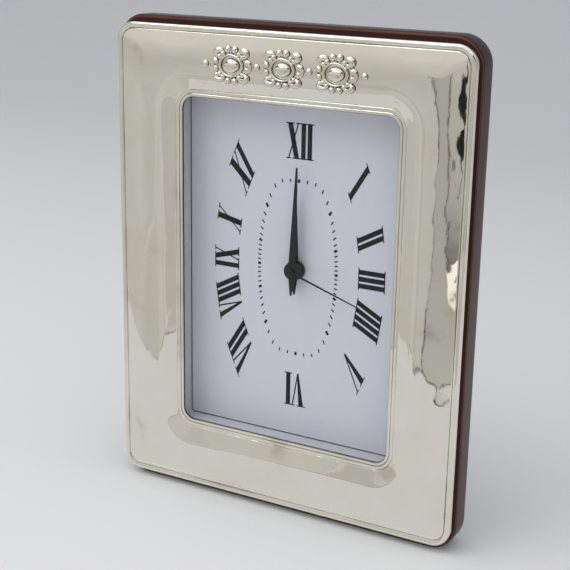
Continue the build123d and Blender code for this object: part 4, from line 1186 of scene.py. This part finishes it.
class CLOCK_OT_hands(bpy.types.Operator):
    """Makes the hour, minute and second hands"""
    bl_idname = "clock.hands"
    bl_label = "Hands"

    def execute(self, context):
        settings = context.scene.clock_hands
        mottled("black_lacquer", (0.016, 0.017, 0.018), (0.009, 0.0095, 0.010), 0.5 * MM, 0.42,
                depth=0.004 * MM, gloss=0.2)
        tip = settings.tip_half_width
        tail = settings.tail

        def dagger(reach, half_width):
            return [(-half_width, 0.0), (-tip, reach), (tip, reach), (half_width, 0.0), (tip, -tail),
                    (-tip, -tail)]

        make_hand(settings, "hour_hand_blade", "hour", "hour_hand",
                  dagger(settings.hour_length, settings.hour_half_width), settings.minutes_shown / 2,
                  settings.hour_boss, settings.hour_bore)
        make_hand(settings, "minute_hand_blade", "minute", "minute_hand",
                  dagger(settings.minute_length, settings.minute_half_width), settings.minutes_shown * 6,
                  settings.minute_boss, settings.minute_bore)
        wide = settings.second_half_width
        reach = settings.second_length
        needle = [(-wide, 0.0), (-tip / 2, reach), (tip / 2, reach), (wide, 0.0)]
        make_hand(settings, "second_hand_needle", "second", "second_hand", needle, settings.seconds_shown * 6,
                  settings.second_hub, settings.second_bore)
        return {"FINISHED"}


class CLOCK_OT_stage(bpy.types.Operator):
    """Makes the floor, the light and the camera"""
    bl_idname = "clock.stage"
    bl_label = "Stage"

    def execute(self, context):
        settings = context.scene.clock_stage
        scene = context.scene
        scene.view_settings.view_transform = "Standard"
        camera = bpy.data.cameras.new("camera")
        camera.lens = settings.lens
        camera.sensor_width = 36.0
        view = bpy.data.objects.new("camera", camera)
        view.location = settings.camera_at
        view.rotation_euler = Euler(settings.camera_turn, "XYZ")
        scene.collection.objects.link(view)
        scene.camera = view
        world = bpy.data.worlds.new("sky")
        world.use_nodes = True
        light_sky(world.node_tree, settings.sky)
        scene.world = world
        make_floor(settings)
        make_cards()
        softbox = bpy.data.lights.new("softbox", "AREA")
        softbox.shape = "RECTANGLE"
        softbox.size, softbox.size_y = settings.softbox_size
        softbox.energy = settings.softbox_power
        lamp = bpy.data.objects.new("softbox", softbox)
        lamp.location = settings.softbox_at
        lamp.rotation_euler = Vector(settings.softbox_aim).to_track_quat("-Z", "Y").to_euler()
        scene.collection.objects.link(lamp)
        return {"FINISHED"}


def make_floor(settings):
    """Makes a pale floor that sweeps up into a backdrop, darkening with distance as painted shade."""
    finish = Finish("pale_sweep", roughness=0.9)
    depth = finish.axis("Y")
    grain = finish.cloud(finish.place((600.0, 600.0, 600.0)), detail=2.0)
    # Painted shade: the colour darkens from the floor near the clock to the backdrop.
    painted_falloff = finish.span(depth, 0.0, 1.0, source=(0.05, 1.2))
    reach = finish.combine("ADD", painted_falloff, finish.span(grain, -0.01, 0.01))
    finish.feed(finish.ramp(reach, ((0.0, settings.floor), (1.0, settings.shaded_far_floor))), "Base Color")
    near_y = -2.2
    bend_y = 0.75
    bend = 0.5
    section = [(near_y, 0.0), (bend_y, 0.0)]
    for angle in evenly(0.0, math.pi / 2, 16)[1:]:
        section.append((bend_y + bend * math.sin(angle), bend * (1 - math.cos(angle))))
    backdrop_height = 2.5
    section.append((bend_y + bend, backdrop_height))
    bm = bmesh.new()
    half_width = 2.5
    rows = []
    for y, z in section:
        rows.append([bm.verts.new((x, y, z)) for x in evenly(-half_width, half_width, 9)])
    for lower, upper in zip(rows, rows[1:]):
        for step in range(len(lower) - 1):
            bm.faces.new((lower[step], lower[step + 1], upper[step + 1], upper[step]))
    make_piece("floor_sweep", bm, finish.material)


def light_sky(tree, strength):
    """Makes a sky that is bright overhead and dim at the horizon."""
    ground = tree.nodes["Background"]
    ground.inputs["Strength"].default_value = strength
    direction = tree_node(tree, "ShaderNodeTexCoord", output="Generated")
    height = tree_node(tree, "ShaderNodeSeparateXYZ", (("Vector", direction),), "Z")
    stops = ((0.0, (0.34, 0.35, 0.36)), (0.35, (0.50, 0.51, 0.53)), (0.6, (0.92, 0.94, 0.97)),
             (1.0, (1.0, 1.0, 1.0)))
    tree.links.new(tree_ramp(tree, height, stops), ground.inputs["Color"])


def make_card(name, corners, axis, stops, tint=(1.0, 0.99, 0.94), one_sided=False):
    """Makes a card that shows only in reflections, shaded along one axis by stops of place and level."""
    material = bpy.data.materials.new(name)
    material.use_nodes = True
    tree = material.node_tree
    tree.nodes.remove(tree.nodes["Principled BSDF"])
    coordinates = tree_node(tree, "ShaderNodeTexCoord", output="Object")
    along = tree_node(tree, "ShaderNodeSeparateXYZ", (("Vector", coordinates),), axis)
    first = stops[0][0]
    last = stops[-1][0]
    share = tree_span(tree, along, 0.0, 1.0, source=(first * MM, last * MM))
    shades = [((place - first) / (last - first), [level * channel for channel in tint])
              for place, level in stops]
    surface = tree_node(tree, "ShaderNodeEmission", (("Color", tree_ramp(tree, share, shades)),))
    if one_sided:
        behind = tree_node(tree, "ShaderNodeNewGeometry", output="Backfacing")
        clear = tree_node(tree, "ShaderNodeBsdfTransparent")
        surface = tree_node(tree, "ShaderNodeMixShader", ((0, behind), (1, surface), (2, clear)))
    tree.links.new(surface, tree.nodes["Material Output"].inputs["Surface"])
    bm = bmesh.new()
    bm.faces.new([bm.verts.new(Vector(corner) * MM) for corner in corners])
    card = make_piece(name, bm, material)
    card.visible_camera = False
    card.visible_diffuse = False
    card.visible_shadow = False
    card.visible_transmission = False


def make_cards():
    """Makes the cards that the polished silver reflects, with the uneven edges of a room; millimetres."""

    def flat(y, edge):
        return [(x, y, z) for x, z in edge]

    def moved(edge, across, up):
        return [(x + across, z + up) for x, z in edge]

    # Most cards stand on upright planes near this depth, where one nearer to the clock hides those behind it
    far = -120
    top = 230
    room = [(-700, top), (500, top), (500, 24), (60, 22), (14, 26), (-17, 23), (-34, 24), (-49, 21),
            (-86, 15), (-90, 8), (-112, 4), (-134, 1), (-136, 6), (-152, 8), (-172, 14), (-186, 22),
            (-700, 24)]
    room_levels = ((-700, 0.48), (-190, 0.52), (-160, 0.55), (-140, 0.50), (-100, 0.53), (-60, 0.56),
                   (-8, 0.53), (60, 0.48), (500, 0.46))
    make_card("card_room", flat(far, room), "X", room_levels)
    make_card("card_room_trim", flat(far - 1, moved(room[2:], 0, -1.2)), "X", ((-700, 0.26), (500, 0.22)))
    fold = [(10, 190), (10.5, 150), (15.5, 138), (24, 127), (24, 116), (20, 106), (19, 82), (18, 72),
            (11.5, 52), (13, 33), (14, 26), (20, 22), (32, 21), (36.5, 19.4), (43, 21.5), (75, 24), (75, 190)]
    make_card("card_fold", flat(far + 1, fold), "Z", ((19, 0.46), (50, 0.435), (90, 0.40), (190, 0.42)))
    make_card("card_fold_trim", flat(far + 0.5, moved(fold, -1.3, -1.6)), "X", ((9, 0.14), (75, 0.05)))
    tongue = [(27, 190), (30, 150), (36, 133), (40, 117), (41, 103), (36.5, 84), (35, 79), (38, 76), (43, 75),
              (52, 79), (75, 80), (75, 190)]
    tongue_levels = ((75, 0.19), (82, 0.25), (94, 0.37), (112, 0.44), (190, 0.48))
    make_card("card_tongue", flat(far + 2, tongue), "Z", tongue_levels)
    make_card("card_tongue_trim", flat(far + 1.5, moved(tongue, -1.2, -0.6)), "Z", ((75, 0.05), (190, 0.12)))
    dark = [(43, 172), (45, 172), (51, 150), (54, 139), (50, 134.5), (53, 129), (51, 122), (48, 117),
            (47.5, 98), (46, 118), (43.5, 123), (44.5, 130), (47.5, 134), (46, 139), (45.5, 146)]
    make_card("card_dark", flat(far + 3, dark), "X", ((38, 0.012), (60, 0.018)))
    patch = [(35, 77), (39, 74), (44, 74), (49, 78), (60, 79), (60, 66), (54, 58), (49, 58), (46, 66),
             (42, 71)]
    make_card("card_bright", flat(far + 3, patch), "Z", ((58, 0.75), (63, 1.0), (79, 1.05)))
    spot = [(50.5, 67), (50.5, 71), (53, 72), (54.5, 69), (53, 66.5)]
    make_card("card_spot", flat(far + 4, spot), "X", ((50, 0.30), (55, 0.24)))
    drop = [(30, 15), (34, 13), (43, 13), (53, 15.5), (46, 18), (40, 19), (37, 20.5), (36, 20.5), (34.5, 18)]
    make_card("card_drop", flat(far + 2, drop), "X", ((29, 0.30), (36, 0.52), (54, 0.62)))
    make_card("card_drop_trim", flat(far + 1.8, moved(drop, -1.8, -1.4)), "X", ((28, 0.02), (54, 0.12)))
    glow = [(-700, 231), (75, 231), (75, 150), (34, 152), (28, 157), (8, 157), (4, 137), (-700, 137)]
    glow_levels = ((137, 0.53), (150, 0.495), (157, 0.51), (163, 0.55), (169, 0.60), (176, 0.66), (231, 0.71))
    make_card("card_glow", flat(far + 2.6, glow), "Z", glow_levels)
    post = [(-44, 73), (-59, 73), (-62, 65), (-70, 57), (-80, 41), (-89, 33), (-90, 22), (-78, 24), (-66, 27),
            (-57, 31), (-44, 36)]
    make_card("card_post", [(-75, y, z) for y, z in post], "Z", ((22, 0.50), (73, 0.52)))
    shade = [(-46, 130), (-41, 119), (-29, 93), (-25, 75), (-25, 63), (-27, 48), (-29, 34), (-29, 27),
             (-4, 27), (-4, 130)]
    make_card("card_shade", flat(far + 0.8, shade), "X", ((-46, 0.48), (-4, 0.48)))
    make_card("card_shade_trim", flat(far + 0.4, moved(shade, -2.5, 0)), "X", ((-50, 0.64), (-8, 0.60)))
    gleam = [(-78, 130), (-72, 130), (-100, 100), (-128, 70), (-150, 50), (-156, 50), (-134, 70), (-106, 100)]
    make_card("card_gleam", flat(far + 0.4, gleam), "Z", ((50, 0.56), (130, 0.61)))
    table = [(-700, -14, 0.4), (500, -14, 0.4), (500, -700, 0.4), (-700, -700, 0.4)]
    white = (1.0, 1.0, 1.0)
    make_card("card_table", table, "X", ((-300, 0.65), (0, 0.635), (200, 0.615)), tint=white)
    # Seen from below alone, so that the lower bead and lip don't show the softbox
    canopy = [(-240, -16, 100), (200, -16, 100), (200, -90, 100), (-240, -90, 100)]
    make_card("card_canopy", canopy, "X", ((-240, 0.64), (200, 0.60)), one_sided=True)
    sides = (("card_right", 450, 0.04, 0.10), ("card_left", -450, 0.20, 0.32))
    for name, side, near_level, far_level in sides:
        wall = [(side, -700, 0), (side, -60, 0), (side, -60, 600), (side, -700, 600)]
        make_card(name, wall, "Y", ((-700, far_level), (-60, near_level)))


class CLOCK_OT_back(bpy.types.Operator):
    """Finishes the rear panel and the hinge"""
    bl_idname = "clock.back"
    bl_label = "Panel and Hinge"

    def execute(self, context):
        wood = context.scene.clock_wood
        paint("back_panel", wood_finish("stained_panel", wood))
        brass = mottled("lacquered_brass", (0.80, 0.60, 0.28), (0.72, 0.52, 0.23), 0.5 * MM, 0.24, 1.0,
                        depth=0.004 * MM, stretch=(0.12, 1.0, 1.0))
        for node in ("hinge_frame_leaf", "hinge_strut_leaf", "hinge_pin"):
            paint(node, brass)
        return {"FINISHED"}


class CLOCK_OT_strut(bpy.types.Operator):
    """Makes the wooden strut with its hollowed rear edge"""
    bl_idname = "clock.strut"
    bl_label = "Strut"

    def execute(self, context):
        settings = context.scene.clock_back
        low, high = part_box("strut_leg")
        toe = Vector((low.x, high.y, settings.strut_toe))
        shoulder = Vector((low.x, low.y + settings.strut_top_width, high.z))
        middle = (toe + shoulder) / 2 - Vector((0.0, settings.strut_sag, settings.strut_sag))
        pull = 2 * middle - (toe + shoulder) / 2
        hollow = [toe * (1 - t) ** 2 + pull * 2 * t * (1 - t) + shoulder * t ** 2
                  for t in evenly(0.0, 1.0, 25)]
        outline = [Vector((low.x, low.y, high.z)), Vector((low.x, low.y, 0.0)), Vector((low.x, high.y, 0.0))]
        bm = bmesh.new()
        add_slab(bm, outline + hollow, (high.x - low.x, 0.0, 0.0))
        soften(bm, settings.strut_edge, segments=3)
        wood = wood_finish("strut_wood", context.scene.clock_wood)
        settle(make_piece("strut_board", bm, wood), "strut", ["strut_leg"])
        return {"FINISHED"}


# Corner radius of an outline with round ends, as a share of its half width
ALL_BUT_ROUND = 0.98


class CLOCK_OT_turn_buttons(bpy.types.Operator):
    """Makes the four turn buttons that keep the panel in"""
    bl_idname = "clock.turn_buttons"
    bl_label = "Turn Buttons"

    def execute(self, context):
        settings = context.scene.clock_back
        edge = settings.button_edge
        bore = settings.button_bore
        for number in range(1, 5):
            node = f"turn_button_{number}"
            low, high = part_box(node)
            pivot = JOINT_AT[node + "_turn"]
            middle = (low + high) / 2
            half = (high - low) / 2
            hole = rounded_outline(bore, bore, ALL_BUT_ROUND * bore)

            def plate(shrink, y):
                outline = rounded_outline(half.x - shrink, half.z - shrink, ALL_BUT_ROUND * half.z - shrink)
                return [point + Vector((middle.x, y, middle.z)) for point in outline]

            near = []
            far = []
            for angle in evenly(0.0, math.pi / 2, 4):
                shrink = edge * (1 - math.sin(angle))
                sink = edge * (1 - math.cos(angle))
                near.append(plate(shrink, low.y + sink))
                far.append(plate(shrink, high.y - sink))
            bores = [[point + Vector((pivot.x, y, pivot.z)) for point in hole] for y in (low.y, high.y)]
            loops = [bores[0], *near, *reversed(far), bores[1]]
            bm = bmesh.new()
            join_loops(bm, loops, ring=True)
            piece = make_piece(node + "_plate", bm, bpy.data.materials["lacquered_brass"])
            settle(piece, node, [node])
        return {"FINISHED"}


# Height of a slot's floor above the foot of the halves beside it
SLOT_FLOOR = 0.02 * MM


def slotted_screw(head, sections, shank, slot):
    """Makes a slotted screw on its own Z axis from its head's radii and heights and its shank's."""
    bm = bmesh.new()
    floor = sections[0][1]
    profile = [(0.0, shank[1]), shank, *head, (0.0, floor + SLOT_FLOOR)]
    add_turned(bm, profile, Vector(), steps=32)
    for side in (-1, 1):
        rows = []
        for radius, height in sections:
            reach = math.asin(0.5 * slot / radius)
            arc = [side * radius * Vector((math.cos(angle), math.sin(angle), 0.0))
                   for angle in evenly(reach, math.pi - reach, 17)]
            rows.append([bm.verts.new(point + Vector((0.0, 0.0, height))) for point in arc])
        for lower, upper in zip(rows, rows[1:]):
            bridge(bm, lower, upper)
        bm.faces.new(rows[0])
        bm.faces.new(rows[-1])
    return bm


def pan_screw(radius, rise, shank, slot):
    """Makes a screw with a raised round head that stands on the XY plane."""
    floor = 0.45 * rise
    head = [(shank[0], 0.0), (radius, 0.0), (radius, floor + SLOT_FLOOR)]
    crown = [(radius * math.cos(angle) * 0.4 + 0.6 * radius, floor + (rise - floor) * math.sin(angle))
             for angle in evenly(0.0, math.pi / 2, 6)]
    return slotted_screw(head, crown, shank, slot)


def flat_screw(radius, depth, shank, slot):
    """Makes a screw with a countersunk head that lies flush with the XY plane."""
    floor = -0.4 * depth
    slope = (radius - shank[0]) / depth
    wide = radius + slope * floor
    head = [(shank[0], -depth), (wide, floor + SLOT_FLOOR)]
    chamfer = ((radius, -0.03 * MM), (radius - 0.04 * MM, 0.0))
    return slotted_screw(head, [(wide, floor), *chamfer], shank, slot)


def screw_tree(material):
    """Sets a screw on a grid of places, each turned by chance about its own axis."""
    tree, source = new_tree("screw_grid", (("Across", "Float"), ("Up", "Float"), ("Columns", "Int"),
                                           ("Rows", "Int"), ("Centre", "Vector"), ("Facing", "Vector"),
                                           ("Seed", "Int")))
    sizes = (("Size X", "Across"), ("Size Y", "Up"), ("Vertices X", "Columns"), ("Vertices Y", "Rows"))
    grid = tree_node(tree, "GeometryNodeMeshGrid", [(socket, source[name]) for socket, name in sizes])
    screws = tree_copies(tree, grid, source["Geometry"])
    chance = tree_node(tree, "FunctionNodeRandomValue", (("Seed", source["Seed"]),), 1, data_type="FLOAT")
    spin = tree_vector(tree, Z=tree_math(tree, "MULTIPLY", chance, math.pi))
    turned = tree_node(tree, "GeometryNodeRotateInstances", (("Instances", screws), ("Rotation", spin)))
    move = (("Geometry", turned), ("Translation", source["Centre"]), ("Rotation", source["Facing"]))
    placed = tree_node(tree, "GeometryNodeTransform", move)
    close_tree(tree, placed, material)
    return tree


class CLOCK_OT_screws(bpy.types.Operator):
    """Makes the screws of the turn buttons, the hinge and the movement's cover"""
    bl_idname = "clock.screws"
    bl_label = "Screws"

    def execute(self, context):
        settings = context.scene.clock_back
        slot = settings.slot_width
        brass = bpy.data.materials["lacquered_brass"]
        steel = mottled("screw_steel", (0.66, 0.65, 0.63), (0.56, 0.55, 0.54), 0.4 * MM, 0.28, 1.0)
        backwards = (-math.pi / 2, 0.0, 0.0)
        leftwards = (0.0, -math.pi / 2, 0.0)

        def add_set(node, body, material, bm, head, count, facing, level, seed):
            low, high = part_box(node)
            middle = (low + high) / 2
            across = high.x - low.x if facing == backwards else high.z - low.z
            centre = (middle.x, level, middle.z) if facing == backwards else (level, middle.y, middle.z)
            values = {"Across": across - 2 * head, "Up": high.z - low.z - 2 * head, "Columns": count[0],
                      "Rows": count[1], "Centre": centre, "Facing": facing, "Seed": seed}
            settle(grow(node + "_slotted", bm, screw_tree(material), values), body, [node])

        raised = (
            ("turn_button_screws", "brass", brass, settings.button_head, settings.button_rise,
             settings.button_shank, 3),
            ("cover_screws", "steel", steel, settings.cover_head, settings.cover_rise,
             settings.cover_shank, 5),
        )
        for node, kind, material, head, rise, shank, seed in raised:
            low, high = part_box(node)
            screw = pan_screw(head, rise, (shank, low.y - high.y + rise), slot)
            add_set(node, "frame", material, screw, head, (2, 2), backwards, high.y - rise, seed)
        head = settings.hinge_head
        flush = (("hinge_frame_screws", "frame", (1, 2), backwards, 7),
                 ("hinge_strut_screws", "strut", (2, 1), leftwards, 9))
        for node, body, count, facing, seed in flush:
            low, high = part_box(node)
            reach, level = (low.y - high.y, high.y) if facing == backwards else (low.x - high.x, low.x)
            screw = flat_screw(head, settings.hinge_sink, (settings.hinge_shank, reach), slot)
            add_set(node, body, brass, screw, head, count, facing, level, seed)
        return {"FINISHED"}


def sleeve_finish(low, high):
    """Cell sleeve: a dark body, a copper-coloured shoulder at the nub's end and bare metal at both ends."""
    finish = Finish("cell_sleeve")
    along = finish.axis("X")
    grain = finish.cloud(finish.place((200.0, 1600.0, 1600.0)), detail=3.0)
    ragged = finish.combine("ADD", along, finish.span(grain, -0.05 * MM, 0.05 * MM))
    share = finish.span(ragged, 0.0, 1.0, source=(low, high))
    metal = (0.62, 0.61, 0.60)
    body = (0.030, 0.032, 0.036)
    shoulder = (0.56, 0.27, 0.13)
    sleeve_from = 0.02
    shoulder_from = 0.72
    cap_from = 0.955
    stops = ((0.0, metal), (sleeve_from, body), (shoulder_from, shoulder), (cap_from, metal))
    finish.feed(finish.ramp(share, stops, "CONSTANT"), "Base Color")
    levels = ((0.0, 1.0), (sleeve_from, 0.3), (shoulder_from, 0.9))
    greys = [(place, (level, level, level)) for place, level in levels]
    finish.feed(finish.ramp(share, greys, "CONSTANT"), "Metallic")
    finish.feed(finish.span(grain, 0.22, 0.36), "Roughness")
    finish.relief(grain, 0.004 * MM)
    return finish.material


class CLOCK_OT_cell(bpy.types.Operator):
    """Makes the cell in its bay and the moulded rim of the cover above it"""
    bl_idname = "clock.cell"
    bl_label = "Cell and Cover Rim"

    def execute(self, context):
        settings = context.scene.clock_back
        low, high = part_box("battery")
        radius = (high.z - low.z) / 2
        full = high.x - low.x
        shoulder = full - settings.nub_length
        nub = settings.nub_radius
        edge = settings.cell_edge
        profile = [(0.0, edge), (0.6 * radius, edge), (0.7 * radius, 0.0), (radius - edge, 0.0),
                   (radius - 0.3 * edge, 0.3 * edge), (radius, edge), (radius, shoulder - edge),
                   (radius - 0.3 * edge, shoulder - 0.3 * edge), (radius - edge, shoulder),
                   (0.75 * radius, shoulder), (0.7 * radius, shoulder - 0.6 * edge),
                   (nub, shoulder - 0.6 * edge), (nub, full - 0.4 * edge), (nub - 0.4 * edge, full),
                   (0.0, full)]
        bm = bmesh.new()
        rightwards = Matrix.Rotation(math.pi / 2, 3, "Y")
        middle = (low + high) / 2
        add_turned(bm, profile, Vector((low.x, middle.y, middle.z)), rightwards, steps=64)
        settle(make_piece("battery_cell", bm, sleeve_finish(low.x, high.x)), "frame", ["battery"])
        self.add_rim(settings)
        return {"FINISHED"}

    def add_rim(self, settings):
        """Adds the rounded rim along the cover's edge."""
        low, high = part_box("movement_cover")
        half = (high - low) / 2
        half_rim = settings.rim_width / 2
        arc = [(half_rim * (1 - math.cos(angle)), settings.rim_rise * math.sin(angle))
               for angle in evenly(0.0, math.pi, 13)]
        loops = []
        for inset, rise in arc + [(half_rim, -settings.rim_root)]:
            outline = rounded_outline(half.x - inset, half.z - inset, settings.cover_corner - inset)
            loops.append(shifted(outline, high.y + rise, (low.z + high.z) / 2))
        bm = bmesh.new()
        join_loops(bm, loops, ring=True)
        moulding = mottled("rim_moulding", (0.050, 0.050, 0.052), (0.034, 0.034, 0.036), 0.35 * MM, 0.45)
        settle(make_piece("movement_cover_rim", bm, moulding), "frame")


class CLOCK_OT_movement(bpy.types.Operator):
    """Finishes the movement, its train and its electrics"""
    bl_idname = "clock.movement"
    bl_label = "Movement"

    def execute(self, context):
        plastic = mottled("black_moulding", (0.050, 0.050, 0.052), (0.034, 0.034, 0.036), 0.35 * MM, 0.5)
        steel = mottled("nickelled_steel", (0.66, 0.65, 0.63), (0.56, 0.55, 0.54), 0.8 * MM, 0.28, 1.0)
        white = mottled("train_moulding", (0.82, 0.80, 0.72), (0.76, 0.74, 0.66), 0.8 * MM, 0.45)
        tube = tube_finish()
        groups = (
            (plastic, ("movement_case", "movement_cover", "setting_knob")),
            (steel, ("contact_positive", "contact_negative", "quartz_crystal")),
            (white, ("train_plate", "motion_wheel", "centre_wheel", "third_wheel", "intermediate_wheel")),
            (tube, ("hour_wheel", "cannon_pinion", "second_wheel")),
            (mottled("foam_pad", (0.12, 0.12, 0.12), (0.07, 0.07, 0.07), 0.5 * MM, 0.9), ("mounting_pad",)),
            (mottled("ground_magnet", (0.26, 0.26, 0.27), (0.18, 0.18, 0.19), 0.4 * MM, 0.4, 1.0),
             ("rotor",)),
            (mottled("soft_iron", (0.54, 0.54, 0.55), (0.42, 0.42, 0.44), 0.6 * MM, 0.4, 1.0), ("stator",)),
            (mottled("copper_wire", (0.72, 0.36, 0.18), (0.50, 0.22, 0.10), 0.2 * MM, 0.35, 1.0), ("coil",)),
            (mottled("solder_mask", (0.07, 0.30, 0.14), (0.04, 0.20, 0.09), 1.5 * MM, 0.3),
             ("circuit_board",)),
            (mottled("potting", (0.035, 0.035, 0.035), (0.02, 0.02, 0.02), 0.7 * MM, 0.3), ("control_chip",)),
        )
        for material, nodes in groups:
            for node in nodes:
                paint(node, material)
        return {"FINISHED"}


OPERATORS = (CLOCK_OT_silver_front, CLOCK_OT_ornament, CLOCK_OT_wood_body, CLOCK_OT_dial, CLOCK_OT_hands,
             CLOCK_OT_back, CLOCK_OT_strut, CLOCK_OT_turn_buttons, CLOCK_OT_screws, CLOCK_OT_cell,
             CLOCK_OT_movement, CLOCK_OT_stage)
SETTINGS = {"clock_silver": SilverSettings, "clock_ornament": OrnamentSettings, "clock_wood": WoodSettings,
            "clock_back": BackSettings, "clock_dial": DialSettings, "clock_hands": HandSettings,
            "clock_stage": StageSettings}


class CLOCK_PT_panel(bpy.types.Panel):
    """Lists the steps that build the clock and the values that they read"""
    bl_idname = "CLOCK_PT_panel"
    bl_label = "Photo Frame Clock"
    bl_space_type = "VIEW_3D"
    bl_region_type = "UI"
    bl_category = "Clock"

    def draw(self, context):
        for operator in OPERATORS:
            self.layout.operator(operator.bl_idname)
        for name, group in SETTINGS.items():
            box = self.layout.box()
            for field in group.__annotations__:
                box.prop(getattr(context.scene, name), field)


def register():
    for group in SETTINGS.values():
        bpy.utils.register_class(group)
    for name, group in SETTINGS.items():
        setattr(bpy.types.Scene, name, PointerProperty(type=group))
    for operator in OPERATORS:
        bpy.utils.register_class(operator)
    bpy.utils.register_class(CLOCK_PT_panel)


def unregister():
    bpy.utils.unregister_class(CLOCK_PT_panel)
    for operator in reversed(OPERATORS):
        bpy.utils.unregister_class(operator)
    for name, group in SETTINGS.items():
        delattr(bpy.types.Scene, name)
        bpy.utils.unregister_class(group)


def main():
    """Builds the clock and its stage."""
    register()
    for operator in OPERATORS:
        step = operator.bl_idname.split(".")[1]
        getattr(bpy.ops.clock, step)()


if __name__ == "__main__":
    main()
